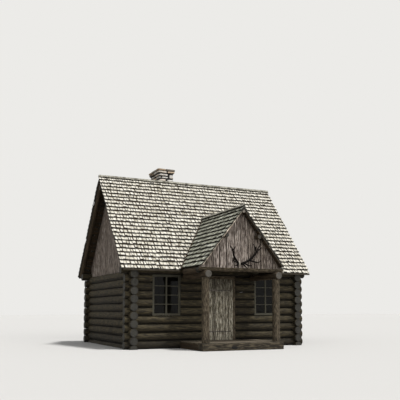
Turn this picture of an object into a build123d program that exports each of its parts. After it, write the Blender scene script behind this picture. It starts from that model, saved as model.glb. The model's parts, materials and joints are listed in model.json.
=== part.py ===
from build123d import *
import os
from math import cos, radians, sin, tan

# Log cabin with saddle-notched walls, a steep shake roof and a gabled porch.
# Millimetres. The origin is on the ground under the middle of the whole outline,
# +X to the right along the front wall, +Y to the back, +Z up.

# Log walls. Logs of the front and back walls lie half a course above those of the sides.
log_d = 254
log_rise = 250
courses = 9
half_length = 2880
house_depth = 4720
log_stub = 250
plate_stub = 370
notch_gap = 0.5

# Main roof
pitch = 50.2
eave_reach = 382
verge_reach = 440
rafter_d = 130
rafter_depth = 118
board_t = 22
shake_t = 55
shake_step = 38
shake_rows = 25
ridge_pole_d = 160
fascia_t = 25
fascia_h = 50
fascia_inset = 8
verge_board_t = 20
verge_board_h = 60
verge_lap = 25
gable_board_t = 25
rafter_places = (420, 1420, 2130)

# Porch
porch_x = 25
porch_half = 1185
porch_reach = 1735
porch_pitch = 51.7
porch_plate_d = 220
porch_plate_drop = 39
porch_plate_housing = 25
porch_eave_half = 1440
porch_verge_board_h = 40
porch_rows = 13
eave_pole_d = 184
eave_pole_depth = 180
purlin_d = 142
purlin_depth = 138
ridge_pole_setback = 24
purlin_half = 550
porch_ridge_pole_d = 130
porch_ridge_drop = 57
post_d = 240
post_setback = 210
post_seat = 15
tie_d = 220
tie_setback = 50
tie_top_drop = 199
porch_gable_setback = 10

# Floor and deck
floor_z = 220
floor_board_t = 30
joist_w = 120
joist_count = 8
wall_gap = 0.5
deck_lip = 15
deck_half = 1340
deck_timber_w = 330
deck_timber_chamfer = 12
deck_board_t = 35
deck_joist_count = 5

# Door
door_left = -420
door_right = 498
jamb_w = 73
head_h = 100
door_frame_d = 210
threshold_w = 252
threshold_t = 30
leaf_t = 30
leaf_gap = 5
leaf_foot = 10
stop_w = 15
stop_t = 40
ledge_w = 150
ledge_t = 25
ledge_inset = 30
low_strap_z = 494
high_strap_z = 1795
strap_h = 38
strap_t = 5
strap_end = 83
barrel_d = 22
pin_d = 14
pin_gap = 0.3
pull_z = 1150
pull_h = 180
pull_bar_d = 14
pull_stand = 45
pull_inset = 70

# Windows
window_sill_course = 4
left_window = (-2256, -1338)
porch_window = (1287, 2140)
window_frame_w = 42
window_frame_d = 190
glass_t = 6
glass_setback = 35

# Chimney
chimney_x = -813
chimney_w = 580
chimney_l = 950
chimney_clear = 20
chimney_rise = 480
chimney_cap_t = 60
chimney_cap_lap = 45
chimney_corbel_h = 95
chimney_corbel_lap = 35
chimney_top_h = 705
flue_w = 260
flue_l = 500
flue_depth = 600
masonry_gap = 0.5

# Antlers: each branch runs through points from the skull's foot as (right, forward, up, thickness)
antler_shift = 65
antler_rise = 85
skull_w = 90
skull_h = 110
skull_t = 70
left_antler = (
    ((0, 60, 50, 62), (-60, 80, 45, 62), (-135, 105, 129, 60), (-258, 135, 344, 50),
     (-274, 140, 429, 42), (-354, 130, 556, 22)),
    ((-274, 140, 429, 38), (-174, 130, 533, 20)),
    ((-100, 95, 75, 38), (-236, 150, 83, 32), (-285, 165, 132, 28), (-275, 160, 255, 18)),
    ((-70, 85, 45, 38), (-172, 120, -27, 20)))
right_antler = (
    ((0, 60, 50, 62), (60, 85, 50, 62), (173, 105, 103, 60), (306, 120, 156, 54),
     (468, 138, 297, 50), (576, 140, 433, 42), (720, 130, 522, 22)),
    ((550, 140, 400, 38), (505, 140, 524, 34), (433, 130, 641, 20)),
    ((488, 138, 555, 28), (533, 130, 639, 18)),
    ((300, 120, 152, 40), (380, 140, 120, 38), (459, 150, 84, 36), (554, 158, 74, 32),
     (698, 160, 141, 22)),
    ((160, 100, 92, 40), (223, 140, 3, 30), (329, 165, -2, 18)),
    ((107, 90, 62, 40), (132, 125, -30, 32), (216, 150, -97, 20)))

# Places that follow from the sizes above
log_r = log_d / 2
notch_r = log_r + notch_gap
wall_top = courses * log_rise
plate_z = wall_top + log_rise / 2
side_top = plate_z
deck_reach = porch_reach + deck_lip
front_y = (deck_reach - house_depth - eave_reach) / 2
back_y = front_y + house_depth
ridge_y = front_y + house_depth / 2
log_end = half_length + log_stub
verge = half_length + verge_reach
wall_face = front_y - log_r

rise = radians(pitch)
roof_cover = board_t + shake_t
boards_under = log_r + rafter_depth
run_eave = house_depth / 2 + eave_reach
run_boards = run_eave - fascia_inset - fascia_t
eave_z = plate_z + (boards_under + roof_cover) / cos(rise) - eave_reach * tan(rise)
verge_board_x = verge - verge_lap - verge_board_t

porch_rise = radians(porch_pitch)
porch_plate_r = porch_plate_d / 2
porch_plate_z = wall_top - porch_plate_drop
porch_front = front_y - porch_reach
porch_plate_back = wall_face + porch_plate_housing
porch_boards_under = porch_plate_r + eave_pole_depth
tie_half = porch_eave_half - fascia_inset
deck_front = front_y - deck_reach
post_y = deck_front + post_setback
post_top = porch_plate_z - porch_plate_r + post_seat
tie_y = post_y + tie_setback
tie_top = porch_plate_z + tie_top_drop
porch_gable_y = tie_y - porch_gable_setback
ridge_pole_front = porch_front + ridge_pole_setback
pole_front = porch_front + verge_lap + verge_board_t + notch_gap

opening_left = door_left - jamb_w
opening_right = door_right + jamb_w
window_sill = window_sill_course * log_rise
leaf_bottom = floor_z + leaf_foot
leaf_top = wall_top - head_h - leaf_gap
door_face = front_y - door_frame_d / 2
pin_y = door_face - barrel_d / 2 - notch_gap
chimney_front = ridge_y + ridge_pole_d / 2 + chimney_clear
chimney_y = chimney_front + chimney_l / 2


def front_z(row):
    """Centre height of a log in the front or back wall."""
    return (row + 0.5) * log_rise


def side_z(row):
    """Centre height of a log in a side wall. Row 0 is the half log on the ground."""
    return row * log_rise


def roof_z(y, lift):
    """Height over a place along the depth, of the plane lift off the plate's centre line."""
    return plate_z + lift / cos(rise) + (house_depth / 2 - abs(y - ridge_y)) * tan(rise)


def porch_z(x, lift):
    """Height across the porch, of the plane lift off the porch plates' centre lines."""
    return porch_plate_z + lift / cos(porch_rise) + (porch_half - abs(x - porch_x)) * tan(porch_rise)


def slope_plane(side, start_x):
    """Plane across a main slope: x runs up from the eave, y stands off the boards' tops."""
    outward = Vector(0, side * sin(rise), cos(rise))
    corner = Vector(start_x, ridge_y + side * run_eave, eave_z)
    return Plane(corner - outward * shake_t, x_dir=(0, -side * cos(rise), sin(rise)), z_dir=(-side, 0, 0))


def porch_plane(side):
    """Plane across a porch slope: x runs up from the eave, y stands off the boards' tops."""
    outward = Vector(side * sin(porch_rise), 0, cos(porch_rise))
    top = porch_z(porch_x + porch_eave_half, porch_boards_under + roof_cover)
    corner = Vector(porch_x + side * porch_eave_half, porch_front, top)
    return Plane(corner - outward * shake_t, x_dir=(-side * cos(porch_rise), 0, sin(porch_rise)),
                 z_dir=(0, side, 0))


def along(run_total, angle, run, lift):
    """Distance up a slope, at lift off its boards, to a place run away from the ridge."""
    return (run_total - shake_t * sin(angle) + lift * sin(angle) - run) / cos(angle)


def stepped_outline(run_total, angle, rows):
    """Outline of a stepped shake slab, from the boards up, with a plumb cut at the ridge."""
    top = along(run_total, angle, 0, shake_t)
    exposure = top / rows
    steps = [(0, 0), (0, shake_t)]
    for row in range(1, rows):
        steps += [(row * exposure, shake_t - shake_step), (row * exposure, shake_t)]
    return steps + [(top, shake_t), (along(run_total, angle, 0, 0), 0)]


def slab_outline(run_total, angle, run_low, lift_low, lift_high, run_high=0.0):
    """Outline of a flat layer with a plumb cut at the eave and at the ridge."""
    return [(along(run_total, angle, run_low, lift_low), lift_low),
            (along(run_total, angle, run_low, lift_high), lift_high),
            (along(run_total, angle, run_high, lift_high), lift_high),
            (along(run_total, angle, run_high, lift_low), lift_low)]


def porch_outline(lift):
    """Triangle across the porch under the plane lift off its plates, down to the tie beam."""
    foot = porch_half + (porch_plate_z + lift / cos(porch_rise) - tie_top) / tan(porch_rise)
    return [(porch_x - foot, tie_top), (porch_x, porch_z(porch_x, lift)), (porch_x + foot, tie_top)]


def cut_porch_roof():
    """Cuts away what lies inside the porch roof's outer faces."""
    crown = porch_z(porch_x, porch_boards_under + roof_cover + notch_gap)
    foot = (crown - wall_top) / tan(porch_rise)
    with BuildSketch(Plane.XZ.offset(-porch_front)) as inside:
        with BuildLine():
            Polyline((porch_x - foot, wall_top), (porch_x, crown), (porch_x + foot, wall_top), close=True)
        make_face()
    extrude(inside.sketch, amount=-(ridge_y - porch_front), mode=Mode.SUBTRACT)


def crossing_logs(points, length, rotation):
    """Cuts the saddle notches, or the other seats, that a crossing wall log leaves."""
    with Locations(*points):
        Cylinder(notch_r, length, rotation=rotation, mode=Mode.SUBTRACT)


def porch_plate_pockets():
    """Cuts the two pockets that house the porch plates' back ends."""
    depth = porch_plate_back - wall_face + log_r
    with Locations(*[(porch_x + side * porch_half, porch_plate_back - depth / 2, porch_plate_z)
                     for side in (-1, 1)]):
        Cylinder(porch_plate_r + notch_gap, depth, rotation=(90, 0, 0), mode=Mode.SUBTRACT)


def chimney_hole(low, high):
    """Cuts the way for the chimney between two heights."""
    with Locations((chimney_x, chimney_y, (low + high) / 2)):
        Box(chimney_w + 2 * masonry_gap, chimney_l + 2 * masonry_gap, high - low, mode=Mode.SUBTRACT)


os.makedirs("parts", exist_ok=True)

# A log's section: round, with the two narrow flats that seat it on the next log
with BuildSketch() as log_section:
    Circle(log_r)
    Rectangle(log_d, log_rise, mode=Mode.INTERSECT)

parities = ((0, "even"), (1, "odd"))
corners = (-half_length, half_length)

# Front wall logs, cut for the door and the two windows
for parity, word in parities:
    rows = [row for row in range(courses) if row % 2 == parity]
    with BuildPart() as front_logs:
        with BuildSketch(Plane.YZ.offset(-log_end)):
            with Locations(*[(front_y, front_z(row)) for row in rows]):
                add(log_section.sketch)
        extrude(amount=2 * log_end)
        crossing_logs([(x, front_y, side_z(row)) for row in rows for x in corners], log_d, (90, 0, 0))
        door_foot = floor_z - threshold_t
        with Locations(((opening_left + opening_right) / 2, front_y, (door_foot + wall_top) / 2)):
            Box(opening_right - opening_left, log_d, wall_top - door_foot, mode=Mode.SUBTRACT)
        for left, right in (left_window, porch_window):
            with Locations(((left + right) / 2, front_y, (window_sill + wall_top) / 2)):
                Box(right - left, log_d, wall_top - window_sill, mode=Mode.SUBTRACT)
        porch_plate_pockets()
    front_logs.part.label = f"front_logs_{word}"
    export_step(front_logs.part, f"parts/front_logs_{word}.step")

# Back wall logs
for parity, word in parities:
    rows = [row for row in range(courses) if row % 2 == parity]
    with BuildPart() as back_logs:
        with BuildSketch(Plane.YZ.offset(-log_end)):
            with Locations(*[(back_y, front_z(row)) for row in rows]):
                add(log_section.sketch)
        extrude(amount=2 * log_end)
        crossing_logs([(x, back_y, side_z(row)) for row in rows for x in corners], log_d, (90, 0, 0))
    back_logs.part.label = f"back_logs_{word}"
    export_step(back_logs.part, f"parts/back_logs_{word}.step")

# Side wall logs of both sides, saddled over the front and back logs
for parity, word in parities:
    rows = [row for row in range(1, courses + 1) if row % 2 == parity]
    with BuildPart() as side_logs:
        with BuildSketch(Plane.XZ.offset(-front_y + log_stub)):
            with Locations(*[(x, side_z(row)) for row in rows for x in corners]):
                add(log_section.sketch)
        extrude(amount=-(house_depth + 2 * log_stub))
        crossing_logs([(x, y, front_z(row - 1)) for row in rows for x in corners
                       for y in (front_y, back_y)], log_d, (0, 90, 0))
    side_logs.part.label = f"side_logs_{word}"
    export_step(side_logs.part, f"parts/side_logs_{word}.step")

# Half logs on the ground under the side walls
with BuildPart() as side_sills:
    with BuildSketch(Plane.XZ.offset(-front_y + log_stub)):
        with Locations(*[(x, 0) for x in corners]):
            add(log_section.sketch)
        with Locations((0, -log_rise / 2)):
            Rectangle(2 * verge, log_rise, mode=Mode.SUBTRACT)
    extrude(amount=-(house_depth + 2 * log_stub))
side_sills.part.label = "side_sills"
export_step(side_sills.part, "parts/side_sills.step")

# Plate logs on the front and back walls, long enough to carry the outer rafters
with BuildPart() as wall_plates:
    with BuildSketch(Plane.YZ.offset(-half_length - plate_stub)):
        with Locations((front_y, plate_z), (back_y, plate_z)):
            add(log_section.sketch)
    extrude(amount=2 * (half_length + plate_stub))
    crossing_logs([(x, y, side_z(courses)) for x in corners for y in (front_y, back_y)], log_d, (90, 0, 0))
    porch_plate_pockets()
wall_plates.part.label = "wall_plates"
export_step(wall_plates.part, "parts/wall_plates.step")

# Sleepers under the floor and the deck
room_half = half_length - log_r - wall_gap
room_front = front_y + log_r + wall_gap
room_back = back_y - log_r - wall_gap
deck_back = wall_face - wall_gap
deck_boards_front = deck_front + deck_timber_w
with BuildPart() as floor_joists:
    joist_h = floor_z - floor_board_t
    spacing = (2 * room_half - joist_w) / (joist_count - 1)
    with Locations((0, (room_front + room_back) / 2, joist_h / 2)):
        with GridLocations(spacing, 1, joist_count, 1):
            Box(joist_w, room_back - room_front, joist_h)
    chimney_hole(0, floor_z)
    deck_joist_h = floor_z - deck_board_t
    deck_spacing = (2 * deck_half - joist_w) / (deck_joist_count - 1)
    with Locations((0, (deck_boards_front + deck_back) / 2, deck_joist_h / 2)):
        with GridLocations(deck_spacing, 1, deck_joist_count, 1):
            Box(joist_w, deck_back - deck_boards_front, deck_joist_h)
floor_joists.part.label = "floor_joists"
export_step(floor_joists.part, "parts/floor_joists.step")

with BuildPart() as floor_boards:
    with Locations((0, (room_front + room_back) / 2, floor_z - floor_board_t / 2)):
        Box(2 * room_half, room_back - room_front, floor_board_t)
    chimney_hole(0, floor_z)
floor_boards.part.label = "floor_boards"
export_step(floor_boards.part, "parts/floor_boards.step")

# Deck: a heavy front timber that carries the posts, and boards behind it
with BuildPart() as deck_timber:
    with Locations((0, deck_front + deck_timber_w / 2, floor_z / 2)):
        Box(2 * deck_half, deck_timber_w, floor_z)
    chamfer(deck_timber.edges().filter_by(Axis.X).group_by(Axis.Z)[-1].sort_by(Axis.Y)[0],
            length=deck_timber_chamfer)
deck_timber.part.label = "deck_timber"
export_step(deck_timber.part, "parts/deck_timber.step")

with BuildPart() as deck_boards:
    with Locations((0, (deck_boards_front + deck_back) / 2, floor_z - deck_board_t / 2)):
        Box(2 * deck_half, deck_back - deck_boards_front, deck_board_t)
deck_boards.part.label = "deck_boards"
export_step(deck_boards.part, "parts/deck_boards.step")

# Pole rafters, flat on top for the boards, notched over the plates and the ridge pole
ridge_pole_z = roof_z(ridge_y, log_r - ridge_pole_d / 2)
gable_rafter_x = half_length - gable_board_t / 2 - rafter_d / 2 - notch_gap
outer_rafter_x = verge_board_x - rafter_d / 2
rafter_xs = [side * x for x in (*rafter_places, gable_rafter_x, outer_rafter_x) for side in (-1, 1)]
for side, word in ((-1, "front"), (1, "back")):
    wall_y = ridge_y + side * house_depth / 2
    with BuildPart() as rafters:
        foot = Vector(0, wall_y + side * eave_reach, roof_z(wall_y + side * eave_reach, boards_under))
        up_slope = Vector(0, -side * cos(rise), sin(rise))
        with BuildSketch(Plane(foot - up_slope * rafter_d * 2, x_dir=(1, 0, 0), z_dir=up_slope)):
            with Locations(*[(x, -side * rafter_d / 2) for x in rafter_xs]):
                Circle(rafter_d / 2)
            with Locations((0, -side * (rafter_d / 2 + (rafter_d - rafter_depth) / 2))):
                Rectangle(2 * verge, rafter_d, mode=Mode.INTERSECT)
        extrude(amount=run_eave / cos(rise) + rafter_d * 4)
        split(bisect_by=Plane.XZ.offset(-ridge_y), keep=Keep.TOP if side < 0 else Keep.BOTTOM)
        split(bisect_by=Plane.XZ.offset(-ridge_y - side * run_boards),
              keep=Keep.BOTTOM if side < 0 else Keep.TOP)
        crossing_logs([(0, wall_y, plate_z)], 2 * verge, (0, 90, 0))
        crossing_logs([(x, wall_y, side_z(courses)) for x in corners], 2 * house_depth, (90, 0, 0))
        with Locations((0, ridge_y, ridge_pole_z)):
            Cylinder(ridge_pole_d / 2 + notch_gap, 2 * verge, rotation=(0, 90, 0), mode=Mode.SUBTRACT)
        if side < 0:  # over the porch the tails end at the wall, clear of the open door
            with Locations((porch_x, wall_face - eave_reach / 2, wall_top)):
                Box(2 * porch_half, eave_reach, 2 * log_rise, mode=Mode.SUBTRACT)
    rafters.part.label = f"rafters_{word}"
    export_step(rafters.part, f"parts/rafters_{word}.step")

with BuildPart() as ridge_pole:
    with BuildSketch(Plane.YZ.offset(-verge_board_x)):
        with Locations((ridge_y, ridge_pole_z)):
            Circle(ridge_pole_d / 2)
    extrude(amount=2 * verge_board_x)
ridge_pole.part.label = "ridge_pole"
export_step(ridge_pole.part, "parts/ridge_pole.step")

# Vertical boards that close the two main gables, standing on the side walls' top logs
for side, word in ((-1, "left"), (1, "right")):
    with BuildPart() as gable_boards:
        low_y = front_y - log_r / 2
        high_y = back_y + log_r / 2
        with BuildSketch(Plane.YZ.offset(side * half_length - gable_board_t / 2)):
            with BuildLine():
                Polyline((low_y, side_top), (low_y, roof_z(low_y, boards_under)),
                         (ridge_y, roof_z(ridge_y, boards_under)),
                         (high_y, roof_z(high_y, boards_under)), (high_y, side_top), close=True)
            make_face()
        extrude(amount=gable_board_t)
        crossing_logs([(side * half_length, y, plate_z) for y in (front_y, back_y)], log_d, (0, 90, 0))
        with Locations((side * half_length, ridge_y, ridge_pole_z)):
            Cylinder(ridge_pole_d / 2 + notch_gap, log_d, rotation=(0, 90, 0), mode=Mode.SUBTRACT)
    gable_boards.part.label = f"gable_boards_{word}"
    export_step(gable_boards.part, f"parts/gable_boards_{word}.step")

# Roof boards and stepped shakes of the two main slopes
ridge_top = roof_z(ridge_y, boards_under + roof_cover)
for side, word in ((-1, "front"), (1, "back")):
    with BuildPart() as roof_boards:
        with BuildSketch(slope_plane(side, side * verge_board_x)):
            with BuildLine():
                Polyline(*slab_outline(run_eave, rise, run_boards, -board_t, 0), close=True)
            make_face()
        extrude(amount=2 * verge_board_x)
        if side > 0:
            chimney_hole(side_top, ridge_top)
    roof_boards.part.label = f"roof_boards_{word}"
    export_step(roof_boards.part, f"parts/roof_boards_{word}.step")

    with BuildPart() as roof_shakes:
        with BuildSketch(slope_plane(side, side * verge)):
            with BuildLine():
                Polyline(*stepped_outline(run_eave, rise, shake_rows), close=True)
            make_face()
        extrude(amount=2 * verge)
        if side > 0:
            chimney_hole(side_top, ridge_top)
        else:
            cut_porch_roof()
    roof_shakes.part.label = f"roof_shakes_{word}"
    export_step(roof_shakes.part, f"parts/roof_shakes_{word}.step")

# Fascia boards tucked under the lowest shakes, stopping at the porch roof
fascia_top = eave_z - (fascia_inset + fascia_t) * cos(rise) / sin(rise) - notch_gap
with BuildPart() as fascia_boards:
    with Locations((0, ridge_y - run_boards - fascia_t / 2, fascia_top - fascia_h / 2),
                   (0, ridge_y + run_boards + fascia_t / 2, fascia_top - fascia_h / 2)):
        Box(2 * verge_board_x, fascia_t, fascia_h)
    cut_porch_roof()
fascia_boards.part.label = "fascia_boards"
export_step(fascia_boards.part, "parts/fascia_boards.step")

# Verge boards under the shakes' ends, two on each main gable
with BuildPart() as verge_boards:
    for side in (-1, 1):
        for start in (-verge_board_x - verge_board_t, verge_board_x):
            with BuildSketch(slope_plane(side, start if side < 0 else start + verge_board_t)):
                with BuildLine():
                    Polyline(*slab_outline(run_eave, rise, run_boards, -verge_board_h, 0, notch_gap),
                             close=True)
                make_face()
            extrude(amount=verge_board_t)
verge_boards.part.label = "verge_boards"
export_step(verge_boards.part, "parts/verge_boards.step")

# Porch posts on the deck's front timber
with BuildPart() as porch_posts:
    with BuildSketch(Plane.XY.offset(floor_z)):
        with Locations((porch_x - porch_half, post_y), (porch_x + porch_half, post_y)):
            Circle(post_d / 2)
    extrude(amount=post_top - floor_z)
porch_posts.part.label = "porch_posts"
export_step(porch_posts.part, "parts/porch_posts.step")

# Porch plate logs from the wall out over the posts, cut flat where they sit on them
with BuildPart() as porch_plates:
    with BuildSketch(Plane.XZ.offset(-porch_front)):
        with Locations((porch_x - porch_half, porch_plate_z), (porch_x + porch_half, porch_plate_z)):
            Circle(porch_plate_r)
    extrude(amount=-(porch_plate_back - porch_front))
    with Locations((porch_x - porch_half, post_y, post_top - porch_plate_r / 2),
                   (porch_x + porch_half, post_y, post_top - porch_plate_r / 2)):
        Cylinder(post_d / 2 + notch_gap, porch_plate_r, mode=Mode.SUBTRACT)
porch_plates.part.label = "porch_plates"
export_step(porch_plates.part, "parts/porch_plates.step")

# Half-log tie beam, flat side up, notched over the plates, its ends cut under the roof boards
under_boards = [Plane((porch_x, 0, porch_z(porch_x, porch_boards_under)),
                      z_dir=(side * sin(porch_rise), 0, cos(porch_rise))) for side in (-1, 1)]
with BuildPart() as tie_beam:
    with BuildSketch(Plane.YZ.offset(porch_x - tie_half)):
        with Locations((tie_y, tie_top)):
            Circle(tie_d / 2)
        with Locations((tie_y, tie_top + tie_d / 2)):
            Rectangle(tie_d, tie_d, mode=Mode.SUBTRACT)
    extrude(amount=2 * tie_half)
    for plane in under_boards:
        split(bisect_by=plane, keep=Keep.BOTTOM)
    with Locations((porch_x - porch_half, tie_y, porch_plate_z),
                   (porch_x + porch_half, tie_y, porch_plate_z)):
        Cylinder(porch_plate_r + notch_gap, tie_d, rotation=(90, 0, 0), mode=Mode.SUBTRACT)
tie_beam.part.label = "tie_beam"
export_step(tie_beam.part, "parts/tie_beam.step")

# Porch poles under the roof boards: ridge pole, two purlins and two eave poles on the plates.
# Their back ends lie on the main roof's boards.
main_boards_top = Plane((0, ridge_y, roof_z(ridge_y, boards_under + board_t)),
                        z_dir=(0, -sin(rise), cos(rise)))
ridge_drop_z = porch_z(porch_x, porch_boards_under) - porch_ridge_drop
purlin_z = porch_z(porch_x + purlin_half, porch_boards_under - purlin_depth / 2)
purlin_spots = [(porch_x + side * purlin_half, purlin_z) for side in (-1, 1)]
eave_pole_lift = porch_plate_r + eave_pole_depth / 2
eave_pole_x = porch_half + eave_pole_lift * sin(porch_rise)
eave_pole_z = porch_plate_z + eave_pole_lift * cos(porch_rise)
eave_pole_spots = [(porch_x + side * eave_pole_x, eave_pole_z) for side in (-1, 1)]


def pole_sections(spots, diameter, depth):
    """Sections of the slanted, twice-flattened porch poles."""
    for spot, side in zip(spots, (-1, 1)):
        with Locations(spot):
            with BuildSketch(mode=Mode.PRIVATE) as flattened:
                Circle(diameter / 2)
                Rectangle(diameter, depth, rotation=-side * porch_pitch, mode=Mode.INTERSECT)
            add(flattened.sketch)


with BuildPart() as porch_poles:
    with BuildSketch(Plane.XZ.offset(-ridge_pole_front)):
        with Locations((porch_x, ridge_drop_z)):
            Circle(porch_ridge_pole_d / 2)
    extrude(amount=-(ridge_y - ridge_pole_front))
    with BuildSketch(Plane.XZ.offset(-pole_front)):
        pole_sections(purlin_spots, purlin_d, purlin_depth)
    extrude(amount=-(ridge_y - pole_front))
    for plane in under_boards:
        split(bisect_by=plane, keep=Keep.BOTTOM)
    eave_pole_front = tie_y + tie_d / 2 + notch_gap
    with BuildSketch(Plane.XZ.offset(-eave_pole_front)):
        pole_sections(eave_pole_spots, eave_pole_d, eave_pole_depth)
    extrude(amount=-(ridge_y - eave_pole_front))
    split(bisect_by=main_boards_top, keep=Keep.TOP)
porch_poles.part.label = "porch_poles"
export_step(porch_poles.part, "parts/porch_poles.step")

# Vertical boards of the porch gable, standing on the tie beam
with BuildPart() as porch_gable_boards:
    with BuildSketch(Plane.XZ.offset(-porch_gable_y)):
        with BuildLine():
            Polyline(*porch_outline(porch_boards_under), close=True)
        make_face()
        with Locations((porch_x, ridge_drop_z)):
            Circle(porch_ridge_pole_d / 2 + notch_gap, mode=Mode.SUBTRACT)
        with Locations(*purlin_spots):
            Circle(purlin_d / 2 + notch_gap, mode=Mode.SUBTRACT)
    extrude(amount=-gable_board_t)
porch_gable_boards.part.label = "porch_gable_boards"
export_step(porch_gable_boards.part, "parts/porch_gable_boards.step")

# Porch roof boards, shakes and verge boards, running back onto the main roof's boards
porch_boards_y = porch_front + verge_lap + verge_board_t
for side, word in ((-1, "left"), (1, "right")):
    with BuildPart() as porch_boards:
        with BuildSketch(porch_plane(side)):
            with BuildLine():
                Polyline(*slab_outline(porch_eave_half, porch_rise, porch_eave_half - fascia_inset,
                                       -board_t, 0), close=True)
            make_face()
        extrude(amount=side * (ridge_y - porch_front))
        split(bisect_by=Plane.XZ.offset(-porch_boards_y), keep=Keep.BOTTOM)
        split(bisect_by=main_boards_top, keep=Keep.TOP)
    porch_boards.part.label = f"porch_boards_{word}"
    export_step(porch_boards.part, f"parts/porch_boards_{word}.step")

    with BuildPart() as porch_shakes:
        with BuildSketch(porch_plane(side)):
            with BuildLine():
                Polyline(*stepped_outline(porch_eave_half, porch_rise, porch_rows), close=True)
            make_face()
        extrude(amount=side * (ridge_y - porch_front))
        split(bisect_by=main_boards_top, keep=Keep.TOP)
    porch_shakes.part.label = f"porch_shakes_{word}"
    export_step(porch_shakes.part, f"parts/porch_shakes_{word}.step")

with BuildPart() as porch_verge_boards:
    for side in (-1, 1):
        with BuildSketch(porch_plane(side).offset(side * verge_lap)):
            with BuildLine():
                Polyline(*slab_outline(porch_eave_half, porch_rise, porch_eave_half - fascia_inset,
                                       -porch_verge_board_h, 0), close=True)
            make_face()
        extrude(amount=side * verge_board_t)
    with Locations((porch_x, porch_front, ridge_drop_z)):
        Box(porch_ridge_pole_d + 2 * notch_gap, porch_reach, 2 * porch_ridge_pole_d, mode=Mode.SUBTRACT)
porch_verge_boards.part.label = "porch_verge_boards"
export_step(porch_verge_boards.part, "parts/porch_verge_boards.step")

# Door frame: threshold, jambs, head and the stop behind the leaf, as one ring
with BuildPart() as door_frame:
    frame_x = (opening_left + opening_right) / 2
    with Locations((frame_x, front_y, (floor_z + wall_top) / 2)):
        Box(opening_right - opening_left, door_frame_d, wall_top - floor_z)
    with Locations((frame_x, front_y, (floor_z + wall_top - head_h) / 2)):
        Box(door_right - door_left, door_frame_d, wall_top - head_h - floor_z, mode=Mode.SUBTRACT)
    stop_y = door_face + leaf_t + stop_t / 2 + notch_gap
    with Locations((frame_x, stop_y, (floor_z + wall_top - head_h) / 2)):
        Box(door_right - door_left, stop_t, wall_top - head_h - floor_z)
    with Locations((frame_x, stop_y, (floor_z + wall_top - head_h - stop_w) / 2)):
        Box(door_right - door_left - 2 * stop_w, stop_t, wall_top - head_h - stop_w - floor_z,
            mode=Mode.SUBTRACT)
    with Locations((frame_x, front_y, floor_z - threshold_t / 2)):
        Box(opening_right - opening_left, threshold_w, threshold_t)
door_frame.part.label = "door_frame"
export_step(door_frame.part, "parts/door_frame.step")

# Door leaf of upright planks, with two ledges across its back
leaf_left = door_left + leaf_gap
leaf_right = door_right - leaf_gap
leaf_x = (leaf_left + leaf_right) / 2
with BuildPart() as door_leaf:
    with Locations((leaf_x, door_face + leaf_t / 2, (leaf_bottom + leaf_top) / 2)):
        Box(leaf_right - leaf_left, leaf_t, leaf_top - leaf_bottom)
door_leaf.part.label = "door_leaf"
export_step(door_leaf.part, "parts/door_leaf.step")

strap_heights = (low_strap_z, high_strap_z)
with BuildPart() as door_ledges:
    with Locations(*[(leaf_x, door_face + leaf_t + ledge_t / 2, z) for z in strap_heights]):
        Box(leaf_right - leaf_left - 2 * ledge_inset, ledge_t, ledge_w)
door_ledges.part.label = "door_ledges"
export_step(door_ledges.part, "parts/door_ledges.step")

# Iron strap hinges: the strap on the leaf ends in an eye round the pin on the jamb
with BuildPart() as door_straps:
    for z in strap_heights:
        with BuildSketch(Plane.XY.offset(z - strap_h / 2)):
            with Locations(((door_left + leaf_right - strap_end) / 2, door_face - strap_t / 2)):
                Rectangle(leaf_right - strap_end - door_left, strap_t)
            with Locations((door_left, pin_y)):
                Circle(barrel_d / 2)
                Circle(pin_d / 2 + pin_gap, mode=Mode.SUBTRACT)
        extrude(amount=strap_h)
door_straps.part.label = "door_straps"
export_step(door_straps.part, "parts/door_straps.step")

with BuildPart() as door_pintles:
    for z in strap_heights:
        foot_z = z - strap_h / 2 - pin_gap
        with BuildSketch(Plane.XY.offset(foot_z - strap_h)):
            with Locations((door_left, pin_y)):
                Circle(barrel_d / 2)
            with Locations((door_left - jamb_w / 2, door_face - strap_t / 2)):
                Rectangle(jamb_w, strap_t)
        extrude(amount=strap_h)
        with BuildSketch(Plane.XY.offset(foot_z)):
            with Locations((door_left, pin_y)):
                Circle(pin_d / 2)
        extrude(amount=strap_h)
door_pintles.part.label = "door_pintles"
export_step(door_pintles.part, "parts/door_pintles.step")

# Iron pull: a bar between two feet
with BuildPart() as door_pull:
    pull_x = leaf_right - pull_inset
    bar_y = door_face - pull_stand
    with BuildSketch(Plane.XY.offset(pull_z - pull_h / 2)):
        with Locations((pull_x, bar_y)):
            Circle(pull_bar_d / 2)
    extrude(amount=pull_h)
    with Locations(*[(pull_x, (bar_y + door_face) / 2, pull_z + end * (pull_h - pull_bar_d) / 2)
                     for end in (-1, 1)]):
        Box(pull_bar_d, pull_stand, pull_bar_d)
door_pull.part.label = "door_pull"
export_step(door_pull.part, "parts/door_pull.step")

# Window frames and their glass
window_h = wall_top - window_sill
with BuildPart() as window_frames:
    for left, right in (left_window, porch_window):
        with Locations(((left + right) / 2, front_y, window_sill + window_h / 2)):
            Box(right - left, window_frame_d, window_h)
            Box(right - left - 2 * window_frame_w, window_frame_d, window_h - 2 * window_frame_w,
                mode=Mode.SUBTRACT)
window_frames.part.label = "window_frames"
export_step(window_frames.part, "parts/window_frames.step")

with BuildPart() as window_glass:
    for left, right in (left_window, porch_window):
        with Locations(((left + right) / 2, front_y - window_frame_d / 2 + glass_setback,
                        window_sill + window_h / 2)):
            Box(right - left - 2 * window_frame_w, glass_t, window_h - 2 * window_frame_w)
window_glass.part.label = "window_glass"
export_step(window_glass.part, "parts/window_glass.step")

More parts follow.
